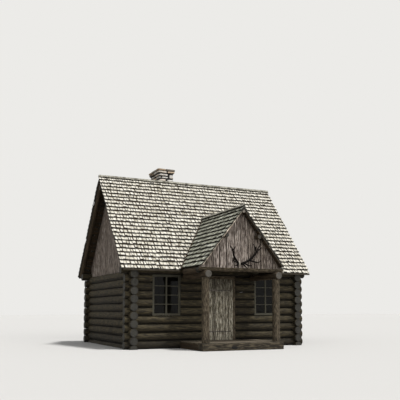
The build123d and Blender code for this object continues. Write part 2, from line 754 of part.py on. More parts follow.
# Fieldstone chimney just behind the ridge, from the ground up
cap_bottom = ridge_top + chimney_rise - chimney_cap_t
corbel_bottom = cap_bottom - chimney_corbel_h
top_bottom = corbel_bottom - chimney_top_h
with BuildPart() as chimney_stack:
    with Locations((chimney_x, chimney_y, top_bottom / 2)):
        Box(chimney_w, chimney_l, top_bottom)
chimney_stack.part.label = "chimney_stack"
export_step(chimney_stack.part, "parts/chimney_stack.step")

with BuildPart() as chimney_top:
    with Locations((chimney_x, chimney_y, top_bottom + chimney_top_h / 2)):
        Box(chimney_w, chimney_l, chimney_top_h)
    with Locations((chimney_x, chimney_y, corbel_bottom - flue_depth / 2)):
        Box(flue_w, flue_l, flue_depth, mode=Mode.SUBTRACT)
chimney_top.part.label = "chimney_top"
export_step(chimney_top.part, "parts/chimney_top.step")

with BuildPart() as chimney_cap:
    with Locations((chimney_x, chimney_y, cap_bottom + chimney_cap_t / 2)):
        Box(chimney_w + 2 * chimney_cap_lap, chimney_l + 2 * chimney_cap_lap, chimney_cap_t)
    with Locations((chimney_x, chimney_y, cap_bottom - chimney_corbel_h / 2)):
        Box(chimney_w + 2 * chimney_corbel_lap, chimney_l + 2 * chimney_corbel_lap, chimney_corbel_h)
    with Locations((chimney_x, chimney_y, (corbel_bottom + cap_bottom + chimney_cap_t) / 2)):
        Box(flue_w, flue_l, chimney_corbel_h + chimney_cap_t, mode=Mode.SUBTRACT)
chimney_cap.part.label = "chimney_cap"
export_step(chimney_cap.part, "parts/chimney_cap.step")

# Antlers on the gable: two branching beams that grow from a skull plate on the boards
skull_foot = Vector(porch_x - antler_shift, porch_gable_y, tie_top + antler_rise)


def antler_point(point):
    """Place of a point given as right, forward and up from the skull's foot."""
    right, forward, up = point[:3]
    return skull_foot + Vector(right, -forward, up)


def branch(start, end):
    """One tapered length of antler between two points, with a round joint at its start."""
    low, high = antler_point(start), antler_point(end)
    with BuildSketch(Plane(low, z_dir=high - low)) as root_section:
        Circle(start[3] / 2)
    with BuildSketch(Plane(high, z_dir=high - low)) as tip_section:
        Circle(end[3] / 2)
    loft([root_section.sketch.face(), tip_section.sketch.face()])
    with Locations(low):
        Sphere(start[3] / 2)


with BuildPart() as antlers:
    with Locations(skull_foot + Vector(0, -skull_t / 2, skull_h / 2)):
        Box(skull_w, skull_t, skull_h)
    for points in (*left_antler, *right_antler):
        for start, end in zip(points, points[1:]):
            branch(start, end)
antlers.part.label = "antlers"
export_step(antlers.part, "parts/antlers.step")
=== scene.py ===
"""Log cabin with a steep shake roof and a gabled porch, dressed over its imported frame.

Metres throughout: +X right along the front wall, +Y to the back, +Z up from the ground.
"""

from __future__ import annotations

import json
import logging
import math
from dataclasses import dataclass, field
from enum import Enum
from typing import Any, Callable, Sequence

import bpy
import numpy as np
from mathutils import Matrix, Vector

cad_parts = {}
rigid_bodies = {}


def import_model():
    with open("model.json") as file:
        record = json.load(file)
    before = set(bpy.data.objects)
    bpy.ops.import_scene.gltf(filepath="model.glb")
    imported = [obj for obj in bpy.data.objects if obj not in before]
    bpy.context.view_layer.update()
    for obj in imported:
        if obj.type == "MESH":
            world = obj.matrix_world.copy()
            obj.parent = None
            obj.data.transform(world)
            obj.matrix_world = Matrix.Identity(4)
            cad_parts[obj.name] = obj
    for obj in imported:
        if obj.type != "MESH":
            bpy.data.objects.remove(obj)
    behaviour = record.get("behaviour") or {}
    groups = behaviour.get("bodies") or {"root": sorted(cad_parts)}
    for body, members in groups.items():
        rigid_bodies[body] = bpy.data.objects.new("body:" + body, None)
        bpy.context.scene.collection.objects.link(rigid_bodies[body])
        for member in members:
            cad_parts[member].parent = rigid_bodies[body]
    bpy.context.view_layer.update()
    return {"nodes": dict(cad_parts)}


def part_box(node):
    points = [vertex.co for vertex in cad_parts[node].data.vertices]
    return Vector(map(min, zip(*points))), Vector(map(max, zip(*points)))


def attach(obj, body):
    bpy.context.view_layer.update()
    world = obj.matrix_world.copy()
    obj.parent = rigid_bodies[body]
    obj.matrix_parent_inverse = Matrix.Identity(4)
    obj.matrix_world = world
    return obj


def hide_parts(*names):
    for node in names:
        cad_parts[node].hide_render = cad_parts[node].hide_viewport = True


for spare in list(bpy.data.objects):
    bpy.data.objects.remove(spare)
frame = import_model()

LOG = logging.getLogger("log_cabin")
Array = np.ndarray
Rng = np.random.Generator
Box = tuple[Array, Array]
Span = tuple[float, float]
Place = tuple[float, float, float]
Colour = tuple[float, float, float]
Shade = tuple[int, int, int]
Material = bpy.types.Material


class Slot(Enum):
    """The record's material slots."""

    LOGS = "weathered_logs"
    SHAKES = "roof_shakes"
    BOARDS = "weathered_boards"
    TRIM = "trim_boards"
    POLES = "framing_poles"
    FLOOR = "floor_boards"
    DOOR = "door_boards"
    PAINT = "window_paint"
    IRON = "black_iron"
    GLASS = "window_glass"
    STONE = "fieldstone"
    ANTLER = "antler"


class Body(Enum):
    """The two bodies that pieces ride on."""

    CABIN = "cabin"
    DOOR = "door"


def vec(x: float, y: float, z: float) -> Array:
    """Makes a place or a direction."""
    return np.array((x, y, z), float)


FRONT = vec(0, -1, 0)
UP = vec(0, 0, 1)
GRAIN_SHIFT = 50.0


def unit(direction: Array) -> Array:
    """Scales a direction to length one."""
    return direction / np.linalg.norm(direction)


def corners(node: str) -> Box:
    """Gives a CAD node's lowest and highest corners as arrays."""
    low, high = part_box(node)
    return np.array(low), np.array(high)


def middle_line(box: Box, axis: int) -> Box:
    """Gives both ends of the line through a box's middle along an axis."""
    start = (box[0] + box[1]) / 2
    end = start.copy()
    start[axis], end[axis] = box[0][axis], box[1][axis]
    return start, end


def solids(node: str) -> list[Box]:
    """Finds the box of each separate solid in a CAD node.

    Args:
        node: The node's name.

    Returns:
        Lowest and highest corner of each solid, from the bottom up and from left to right.
    """
    mesh = frame["nodes"][node].data
    places = np.empty(len(mesh.vertices) * 3, np.float32)
    mesh.vertices.foreach_get("co", places)
    spots, owner = np.unique(np.round(places.reshape(-1, 3), 5), axis=0, return_inverse=True)
    edges = np.empty(len(mesh.edges) * 2, np.int32)
    mesh.edges.foreach_get("vertices", edges)
    edges = owner.ravel()[edges.reshape(-1, 2)]
    group, before = np.arange(len(spots)), None
    while before is None or (group != before).any():
        before = group.copy()
        low = np.minimum(group[edges[:, 0]], group[edges[:, 1]])
        np.minimum.at(group, edges[:, 0], low)
        np.minimum.at(group, edges[:, 1], low)
        group = group[group]
    members = [spots[group == g].astype(float) for g in np.unique(group)]
    return sorted(((m.min(0), m.max(0)) for m in members),
                  key=lambda box: (round(box[0][2], 3), round(box[0][0], 3), box[0][1]))


@dataclass
class MeshMaker:
    """Gathers the faces of one piece, with grain coordinates and the look of each part."""

    points: list[Array] = field(default_factory=list)
    faces: list[list[int]] = field(default_factory=list)
    grain: list[Array] = field(default_factory=list)
    finishes: list[Array] = field(default_factory=list)
    # Per point: the part's tone, how worn it is, and how much painted shade it takes.
    looks: dict[str, list[Array]] = field(
        default_factory=lambda: {"tone": [], "edge": [], "shelter": []})
    count: int = 0

    def _points(self, places: Array, *looks: Array | float) -> None:
        """Stores a sheet's points and their looks."""
        shape = places.shape[:-1]
        self.points.append(places.reshape(-1, 3))
        for kept, value in zip(self.looks.values(), looks):
            kept.append(np.broadcast_to(np.asarray(value, float), shape).ravel())
        self.count += int(np.prod(shape))

    def grid(self, places: Array, grain: Array, tone: float = 0.5, edge: Array | float = 0.0,
             shelter: Array | float = 0.0, finish: int = 0, wrap: bool = False,
             flip: bool = False) -> None:
        """Adds a sheet of quads.

        Args:
            places: Rows by columns by 3.
            grain: Rows by columns by 2, with one column more where the sheet wraps.
            tone: The part's own shade, from 0 to 1.
            edge: How worn each place is.
            shelter: How much painted shade each place takes, in seams, gaps, cracks and under
                laps.
            finish: Which of the piece's finishes the faces take.
            wrap: Joins the last column to the first.
            flip: Turns the faces over.
        """
        rows, cols = places.shape[:2]
        index = np.arange(rows * cols).reshape(rows, cols) + self.count
        if wrap:
            index = np.hstack([index, index[:, :1]])
        quads, uv = (np.stack([a[:-1, :-1], a[:-1, 1:], a[1:, 1:], a[1:, :-1]], 2)
                     for a in (index, grain))
        quads, uv = quads.reshape(-1, 4), uv.reshape(-1, 4, 2)
        if flip:
            quads, uv = quads[:, ::-1], uv[:, ::-1]
        self.faces.extend(quads.tolist())
        self.grain.append(uv.reshape(-1, 2))
        self.finishes.append(np.full(len(quads), finish))
        self._points(places, tone, edge, shelter)

    def polygon(self, places: Array, grain: Array, tone: float = 0.5, shelter: float = 0.0,
                finish: int = 0, flip: bool = False) -> None:
        """Adds one flat face.

        Args:
            places: The corners in order.
            grain: Each corner's grain coordinates.
            tone: The part's own shade.
            shelter: How much painted shade the face takes.
            finish: Which of the piece's finishes the face takes.
            flip: Turns the face over.
        """
        order = np.arange(len(places))[::-1 if flip else 1]
        self.faces.append((order + self.count).tolist())
        self.grain.append(grain[order])
        self.finishes.append(np.array([finish]))
        self._points(places, tone, 0.0, shelter)

    def sweep(self, rings: Array, grain: Array, tone: float = 0.5, edge: Array | float = 0.0,
              shelter: Array | float = 0.0, finishes: tuple[int, int] = (0, 0),
              caps: Sequence[float] = (), cap_painted_shade: float = 0.0) -> None:
        """Adds a closed bar from a run of rings, with its two ends.

        Args:
            rings: Rings by points by 3, turning anticlockwise as seen from the last ring.
            grain: Rings by points plus one by 2.
            tone: The part's own shade.
            edge: How worn each ring point is.
            shelter: How much painted shade each ring point takes.
            finishes: The finish of the sides and of the ends.
            caps: Sizes of the rings that divide each end, largest first.
            cap_painted_shade: How much painted shade the ends take.
        """
        self.grid(rings, grain, tone, edge, shelter, finishes[0], wrap=True)
        sizes = np.array([1.0, *caps])[:, None, None]
        for ring, inner, flip in ((rings[0], rings[1], True), (rings[-1], rings[-2], False)):
            centre = ring.mean(0)
            out = unit(centre - inner.mean(0))
            across = ring[0] - centre
            across = unit(across - out * across.dot(out))
            spread = (ring - centre)[None] * sizes
            sheet = centre + spread
            flat = np.stack([spread @ across, spread @ np.cross(out, across)], -1)
            if caps:
                closed = np.concatenate([flat, flat[:, :1]], 1)
                self.grid(sheet, closed, tone, 0.0, cap_painted_shade, finishes[1], True, flip)
            self.polygon(sheet[-1], flat[-1], tone, cap_painted_shade, finishes[1], flip)

    def build(self, name: str, materials: Sequence[Material],
              sharp: float = 38.0) -> bpy.types.Object:
        """Makes the piece's object.

        Args:
            name: The piece's name.
            materials: One for each finish.
            sharp: Edges that turn by more degrees than this stay crisp.

        Returns:
            The new object, linked to the scene.
        """
        mesh = bpy.data.meshes.new(name)
        mesh.from_pydata(np.concatenate(self.points).tolist(), [], self.faces)
        layer = mesh.uv_layers.new(name="grain")
        layer.data.foreach_set("uv", np.concatenate(self.grain).astype(np.float32).ravel())
        for look, values in self.looks.items():
            attribute = mesh.attributes.new(look, "FLOAT", "POINT")
            attribute.data.foreach_set("value", np.concatenate(values).astype(np.float32))
        for material in materials:
            mesh.materials.append(material)
        finishes = np.concatenate(self.finishes).astype(np.int32)
        mesh.polygons.foreach_set("material_index", finishes)
        mesh.shade_smooth()
        mesh.set_sharp_from_angle(angle=math.radians(sharp))
        mesh.update()
        piece = bpy.data.objects.new(name, mesh)
        bpy.context.scene.collection.objects.link(piece)
        return piece

    def place(self, name: str, materials: Sequence[Material], slot: Slot, *nodes: str,
              body: Body = Body.CABIN, sharp: float = 38.0) -> None:
        """Builds the piece, rides it on its body and reports it.

        Args:
            name: The piece's name.
            materials: One for each finish.
            slot: Its material slot, not used.
            *nodes: The CAD nodes that it stands for.
            body: The body it rides on.
            sharp: Edges that turn by more degrees than this stay crisp.
        """
        piece = self.build(name, materials, sharp)
        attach(piece, body.value)
        if nodes:
            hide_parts(*nodes)
        LOG.info("%s: %d faces on %s, for %s", name, len(piece.data.polygons), body.value,
                 ", ".join(nodes) or "no node")


def pair_up(along: Array, girth: Array, rng: Rng) -> Array:
    """Makes grain coordinates from lengths and girths, shifted by chance."""
    shift = rng.uniform(0, GRAIN_SHIFT, 2)
    return np.stack(np.broadcast_arrays(along + shift[0], girth + shift[1]), -1)


@dataclass(frozen=True)
class Ripple:
    """A smooth, seeded, endless wobble along a length and round a girth."""

    waves: Array

    @classmethod
    def make(cls, rng: Rng, size: float, shortest: float, turns: int = 4,
             count: int = 7) -> Ripple:
        """Draws a new wobble.

        Args:
            rng: The source of chance.
            size: The most it departs, roughly.
            shortest: The shortest wave along the length.
            turns: The most waves round the girth.
            count: How many waves are added up.

        Returns:
            The wobble.
        """
        return cls(np.array([
            (size * rng.uniform(0.4, 1.0) / count * 1.6,
             rng.uniform(0.15, 1.0) * math.tau / shortest,
             rng.integers(-turns, turns + 1), rng.uniform(0, math.tau)) for _ in range(count)]))

    def at(self, along: Array, turn: Array | float = 0.0) -> Array:
        """Reads the wobble at places along the length and round the girth."""
        total = np.zeros(np.broadcast(along, turn).shape)
        for size, rate, turns, start in self.waves:
            total = total + size * np.sin(rate * along + turns * turn + start)
        return total


@dataclass(frozen=True)
class LogForm:
    """How a peeled log departs from a plain round bar."""

    sides: int = 22
    step: float = 0.085
    swell: float = 0.016
    bow: float = 0.003
    checks: int = 2
    check_depth: float = 0.011
    check_turns: tuple[float, ...] = (-0.055, -0.02, 0.02, 0.055)
    check_half: float = 0.03
    check_fade: float = 0.15
    knots: float = 0.9
    knot_rise: float = 0.007
    knot_size: Span = (0.06, 0.045)
    end_round: float = 0.006
    end_rough: float = 0.004
    end_rings: tuple[float, ...] = (0.8, 0.55, 0.3, 0.1)
    # Painted shade along the seams where each log meets its neighbours above and below.
    painted_seam_shade: float = 0.0
    seam_below: Span = (0.38, 0.42)
    seam_above: Span = (0.8, 0.18)

    def add(self, maker: MeshMaker, start: Array, end: Array, radii: Span, rng: Rng,
            up: Array = UP, tone: float | None = None, finishes: tuple[int, int] = (0, 1),
            trim: Callable[[Array], Array] | None = None) -> None:
        """Adds one log.

        Args:
            maker: The piece it belongs to.
            start: Centre of its first end.
            end: Centre of its last end.
            radii: Its radius at each end, which it never passes.
            rng: The source of chance.
            up: The side that lies against the next log.
            tone: Its own shade, drawn where left out.
            finishes: The finish of its side and of its ends.
            trim: Moves its points, for a hewn face or a slanted end.
        """
        length = float(np.linalg.norm(end - start))
        ahead = (end - start) / length
        level = unit(np.cross(up, ahead))
        up = np.cross(ahead, level)
        tone = float(rng.uniform()) if tone is None else tone
        runs = self._checks(rng, length)
        turn = np.sort(np.concatenate([
            np.linspace(0, math.tau, self.sides, endpoint=False) + 0.01,
            *[run[0] + np.array(self.check_turns) for run in runs]]))
        margin = self.end_round * 1.5
        inner = np.linspace(margin, length - margin, max(2, round(length / self.step)))
        along = np.concatenate([[0.0], inner, [length]])[:, None]
        radius = radii[0] + (radii[1] - radii[0]) * along / length
        ripple = Ripple.make(rng, self.swell, 0.5)
        fine = Ripple.make(rng, self.swell * 0.35, 0.12, 7)
        shrink = 1.0 - self.swell * 0.8 + ripple.at(along, turn) * 0.5 + fine.at(along, turn) * 0.5
        places_r = radius * np.minimum(shrink, 1.0)
        for _ in range(int(length * self.knots + rng.uniform())):
            spot, facing = rng.uniform(0.1, 0.9) * length, rng.uniform(0, math.tau)
            gap = np.angle(np.exp(1j * (turn - facing)))[None]
            hump = np.exp(-((along - spot) / self.knot_size[0]) ** 2
                          - (gap * radius / self.knot_size[1]) ** 2)
            places_r = np.minimum(places_r + self.knot_rise * hump, radius)
        groove = np.zeros_like(places_r)
        for middle, low, high in runs:
            reach = (np.clip((along - low) / self.check_fade, 0, 1)
                     * np.clip((high - along) / self.check_fade, 0, 1))
            groove = np.maximum(groove, reach * (np.abs(turn - middle)[None] < self.check_half))
        places_r = places_r - self.check_depth * groove
        places_r[[0, -1]] -= self.end_round
        bend = [Ripple.make(rng, self.bow, 2.2, 0, 3).at(along) for _ in range(2)]
        centre = start + along * ahead + bend[0] * level + bend[1] * up
        facing = np.cos(turn)[None, :, None] * level + np.sin(turn)[None, :, None] * up
        rings = centre[:, None] + places_r[..., None] * facing
        rough = np.abs(rng.uniform(-1, 1, (2, len(turn))) * self.end_rough)
        rings[0] += rough[0][:, None] * ahead
        rings[-1] -= rough[1][:, None] * ahead
        if trim is not None:
            rings = trim(rings.reshape(-1, 3)).reshape(rings.shape)
        closed = np.append(turn, turn[0] + math.tau)
        grain = pair_up(along, closed[None] * radii[0], rng)
        # Painted shade: darker towards the top and bottom seams, more below, and inside the drying
        # checks.
        rise = np.sin(turn)[None]
        seam = np.maximum((-rise - self.seam_below[0]) / self.seam_below[1],
                          (rise - self.seam_above[0]) / self.seam_above[1])
        shelter = np.clip(np.maximum(groove, np.clip(seam, 0, 1) * self.painted_seam_shade), 0, 1)
        maker.sweep(rings, grain, tone, 0.0, shelter, finishes, self.end_rings)

    def _checks(self, rng: Rng, length: float) -> list[tuple[float, float, float]]:
        """Draws each drying check's place round the log, and where it starts and ends."""
        runs = []
        for _ in range(self.checks):
            reach = rng.uniform(0.3, 0.9) * length
            low = rng.uniform(-0.2, 1.0) * (length - reach)
            runs.append((rng.uniform(0.3, math.tau - 0.3), low, low + reach))
        return runs


@dataclass(frozen=True)
class BoardForm:
    """How a sawn or hewn board departs from a plain bar."""

    step: float = 0.25
    corner: float = 0.003
    wave: float = 0.002
    cup: float = 0.0012
    # How much painted shade the narrow sides take, where the gaps between boards lie.
    painted_side_shade: float = 0.85
    ragged: float = 0.0

    def add(self, maker: MeshMaker, start: Array, end: Array, face: Array, width: float,
            thick: float, rng: Rng, tone: float | None = None,
            cuts: tuple[Sequence[Box], Sequence[Box]] = ((), ())) -> None:
        """Adds one board.

        Args:
            maker: The piece it belongs to.
            start: Middle of its first end.
            end: Middle of its last end.
            face: The way its broad face looks.
            width: Its width.
            thick: Its thickness.
            rng: The source of chance.
            tone: Its own shade, drawn where left out.
            cuts: Planes, each a place and a direction, that cut its first and its last end.
        """
        length = float(np.linalg.norm(end - start))
        ahead = (end - start) / length
        face = unit(face - ahead * face.dot(ahead))
        across = np.cross(face, ahead)
        tone = float(rng.uniform()) if tone is None else tone
        w, t, c = width / 2, thick / 2, min(self.corner, thick / 3, width / 4)
        # Each outline point: across, out from the face, how worn it is, and painted shade on the
        # narrow sides.
        half = [(w, 0.0, 0.0, 1.0), (w, t - c, 0.4, 0.6), (w - c, t, 1.0, 0.0),
                (w * 0.5, t, 0.0, 0.0), (0.0, t, 0.0, 0.0), (-w * 0.5, t, 0.0, 0.0),
                (-w + c, t, 1.0, 0.0), (-w, t - c, 0.4, 0.6)]
        outline = np.array(half + [(-a, -b, e, s) for a, b, e, s in half])
        a, b, edge, shelter = outline.T
        base = start + a[:, None] * across + b[:, None] * face
        first, last = np.zeros(len(a)), np.full(len(a), length)
        for spot, facing in cuts[0]:
            first = np.maximum(first, (spot - base) @ facing / ahead.dot(facing))
        for spot, facing in cuts[1]:
            last = np.minimum(last, (spot - base) @ facing / ahead.dot(facing))
        first = first + rng.uniform(0, 1, len(a)) * self.ragged
        share = np.linspace(0, 1, max(2, round(length / self.step) + 1))[:, None]
        along = first + share * np.maximum(last - first, 1e-4)
        sides = Ripple.make(rng, self.wave, 0.9, 1, 4)
        faces = Ripple.make(rng, self.cup, 0.6, 2, 4)
        reach = max(w, 0.01)
        narrow = 1.0 - (self.wave + sides.at(along, np.sign(a) * 1.3)) / reach * 0.5
        lower = faces.at(along, a / reach * 1.5) - self.cup
        rings = (start + along[..., None] * ahead + (a * narrow)[..., None] * across
                 + (b + np.sign(b) * lower)[..., None] * face)
        girth = np.cumsum(np.hypot(*np.diff(outline[:, :2], axis=0).T))
        girth = np.concatenate([[0.0], girth, [girth[-1] + t]])
        grain = pair_up(np.concatenate([along, along[:, :1]], 1), girth, rng)
        maker.sweep(rings, grain, tone, edge, shelter * self.painted_side_shade)


def tube(maker: MeshMaker, path: Array, radii: Array, sides: int,
         edge: Array | float = 0.0) -> None:
    """Adds a round bar that follows a path.

    Args:
        maker: The piece it belongs to.
        path: Places along its middle.
        radii: Its radius at each place.
        sides: How many sides it has.
        edge: How worn it is, the same all over or for each place.
    """
    ahead = np.gradient(path, axis=0)
    ahead /= np.linalg.norm(ahead, axis=1, keepdims=True)
    side = np.cross(ahead[0], vec(0.13, 0.31, 1.0))
    rings = []
    turn = np.linspace(0, math.tau, sides, endpoint=False)
    for spot, way, radius in zip(path, ahead, radii):
        side = unit(side - way * side.dot(way))
        up = np.cross(way, side)
        rings.append(spot + radius * (np.cos(turn)[:, None] * side + np.sin(turn)[:, None] * up))
    steps = np.linalg.norm(np.diff(path, axis=0), axis=1)
    length = np.concatenate([[0.0], np.cumsum(steps)])[:, None]
    closed = np.append(turn, math.tau)[None]
    grain = np.stack(np.broadcast_arrays(length, closed * radii.max()), -1)
    maker.sweep(np.array(rings), grain, 0.5, edge)


def smooth_path(knots: Array, steps: int) -> Array:
    """Runs a smooth line through a few places.

    Args:
        knots: Places and any further values, one row each.
        steps: Points for each stretch.

    Returns:
        The line's points, with the further values carried along.
    """
    padded = np.vstack([2 * knots[0] - knots[1], knots, 2 * knots[-1] - knots[-2]])
    line = []
    for p0, p1, p2, p3 in zip(padded, padded[1:], padded[2:], padded[3:]):
        for t in np.linspace(0, 1, steps, endpoint=False):
            line.append(0.5 * (2 * p1 + (p2 - p0) * t + (2 * p0 - 5 * p1 + 4 * p2 - p3) * t**2
                               + (3 * p1 - p0 - 3 * p2 + p3) * t**3))
    return np.array([*line, knots[-1]])


@dataclass(frozen=True)
class StoneForm:
    """A rounded, uneven fieldstone."""

    around: int = 12
    rows: int = 7
    square: float = 0.42
    rough: float = 0.07
    deepest: float = 0.22
    lean: float = 0.04

    def add(self, maker: MeshMaker, centre: Array, size: Array, rng: Rng,
            finish: int = 0) -> None:
        """Adds one stone.

        Args:
            maker: The piece it belongs to.
            centre: Its middle.
            size: Its full width, depth and height, which it doesn't pass.
            rng: The source of chance.
            finish: The finish that it takes.
        """
        turn = np.linspace(0, math.tau, self.around, endpoint=False)[None]
        rise = np.linspace(-math.pi / 2, math.pi / 2, self.rows + 2)[1:-1, None]

        def swell(value: Array) -> Array:
            """Squares a sine or cosine up towards a block's side."""
            return np.sign(value) * np.abs(value) ** self.square

        level = swell(np.cos(rise))
        block = np.stack([level * swell(np.cos(turn)), level * swell(np.sin(turn)),
                          swell(np.sin(rise)) * np.ones_like(turn)], -1)
        dent = 1.0 - np.abs(rng.normal(0, self.rough, block.shape[:2])).clip(0, self.deepest)
        sheet = block * dent[..., None] * size / 2
        sheet[..., 2] += sheet[..., 0] * rng.uniform(-self.lean, self.lean)
        sheet = np.clip(sheet, -size / 2, size / 2)
        grain = pair_up(np.append(turn, math.tau)[None] * size[0] / 3, rise * size[2], rng)
        maker.sweep(sheet + centre, grain, float(rng.uniform()), finishes=(finish, finish),
                    caps=(0.6,))


def linear(shade: Shade) -> Colour:
    """Turns a colour as it is seen, from 0 to 255, into the shader's linear values."""
    red, green, blue = (
        value / 255 / 12.92 if value <= 10 else ((value / 255 + 0.055) / 1.055) ** 2.4
        for value in shade)
    return red, green, blue


class Nodes:
    """Adds and joins the nodes of one shader tree."""

    def __init__(self, tree: bpy.types.NodeTree) -> None:
        """Keeps the tree that is worked on."""
        self.tree = tree

    def set(self, socket: Any, value: Any) -> None:
        """Joins another node's output to a socket, or gives it a value."""
        if isinstance(value, bpy.types.NodeSocket):
            self.tree.links.new(value, socket)
        else:
            socket.default_value = value

    def add(self, kind: str, inputs: dict[Any, Any] | None = None, **settings: Any) -> Any:
        """Adds a node.

        Args:
            kind: The node's type, without the word that every type starts with.
            inputs: A value or another node's output for each named or numbered input.
            **settings: The node's own properties.

        Returns:
            The new node's outputs.
        """
        node = self.tree.nodes.new("ShaderNode" + kind)
        for name, value in settings.items():
            setattr(node, name, value)
        for name, value in (inputs or {}).items():
            self.set(node.inputs[name], value)
        return node.outputs

    def math(self, operation: str, first: Any, second: Any = 0.0, clamp: bool = False) -> Any:
        """Adds a sum and gives its output."""
        return self.add("Math", {0: first, 1: second}, operation=operation, use_clamp=clamp)[0]

    def times(self, first: Any, second: Any, clamp: bool = False) -> Any:
        """Multiplies two values."""
        return self.math("MULTIPLY", first, second, clamp)

    def plus(self, first: Any, second: Any) -> Any:
        """Adds two values."""
        return self.math("ADD", first, second)

    def minus(self, first: Any, second: Any) -> Any:
        """Takes one value from another."""
        return self.math("SUBTRACT", first, second)

    def mix(self, share: Any, first: Any, second: Any, blend: str = "MIX") -> Any:
        """Mixes two colours and gives the result."""
        first, second = (c if isinstance(c, bpy.types.NodeSocket) else (*c, 1.0)
                         for c in (first, second))
        return self.add("Mix", {0: share, 6: first, 7: second}, data_type="RGBA",
                        blend_type=blend)[2]

    def layers(self, colour: Any, *rows: tuple[Any, float | None, Shade]) -> Any:
        """Lays further colours over a colour.

        Args:
            colour: The colour below.
            *rows: Where each further colour lies, how much of it shows, and the colour.

        Returns:
            The last colour.
        """
        for mask, share, shade in rows:
            mask = mask if share is None else self.times(mask, share)
            colour = self.mix(mask, colour, linear(shade))
        return colour

    def by_part(self, colour: Any, *stops: tuple[float, Colour]) -> Any:
        """Darkens a colour by each part's own shade."""
        return self.mix(1.0, colour, self.ramp(self.look("tone"), *stops), "MULTIPLY")

    def noise(self, spot: Any, scale: Any, detail: float = 4.0, rough: float = 0.55,
              distortion: float = 0.0) -> Any:
        """Adds noise and gives its value."""
        return self.add("TexNoise", {"Vector": spot, "Scale": scale, "Detail": detail,
                                     "Roughness": rough, "Distortion": distortion})[0]

    def ramp(self, value: Any, *stops: tuple[float, Colour]) -> Any:
        """Runs a value through colour stops and gives the colour."""
        colour = self.add("ValToRGB", {0: value})[0]
        kept = colour.node.color_ramp.elements
        while len(kept) < len(stops):
            kept.new(0.5)
        for stop, (where, shade) in zip(kept, stops):
            stop.position, stop.color = where, (*shade, 1.0)
        return colour

    def span(self, value: Any, low: Any, high: Any, to_low: float = 0.0,
             to_high: float = 1.0) -> Any:
        """Stretches a value from one range to another and gives it, held inside."""
        return self.add("MapRange", {0: value, 1: low, 2: high, 3: to_low, 4: to_high})[0]

    def look(self, name: str) -> Any:
        """Reads one of the values that the meshes carry."""
        return self.add("Attribute", attribute_name=name)["Fac"]

    def spot(self) -> Any:
        """Gives the place on the piece."""
        return self.add("TexCoord")["Object"]

    def parts(self, vector: Any) -> Any:
        """Takes a vector apart."""
        return self.add("SeparateXYZ", {0: vector})

    def vector(self, *values: Any) -> Any:
        """Puts a vector together."""
        return self.add("CombineXYZ", dict(enumerate(values)))[0]

    def group(self, tree: bpy.types.NodeTree, **inputs: float) -> Any:
        """Places a shared effect with its own values and gives its outputs."""
        named = {name.replace("_", " ").capitalize(): value for name, value in inputs.items()}
        return self.add("Group", named, node_tree=tree)


class Effect(Nodes):
    """A shared effect: a group of nodes with inputs and outputs, all of them values."""

    def __init__(self, name: str, **inputs: float) -> None:
        """Starts the effect with its inputs' usual values."""
        super().__init__(bpy.data.node_groups.new(name, "ShaderNodeTree"))
        for title, value in inputs.items():
            self._socket(title.replace("_", " ").capitalize(), "INPUT").default_value = value
        self.given = self.tree.nodes.new("NodeGroupInput").outputs

    def _socket(self, title: str, way: str) -> Any:
        """Opens a socket of the group."""
        return self.tree.interface.new_socket(title, in_out=way, socket_type="NodeSocketFloat")

    def give(self, **values: Any) -> bpy.types.NodeTree:
        """Joins the effect's outputs and gives its tree."""
        for title in values:
            self._socket(title, "OUTPUT")
        out = self.tree.nodes.new("NodeGroupOutput").inputs
        for title, value in values.items():
            self.set(out[title], value)
        return self.tree


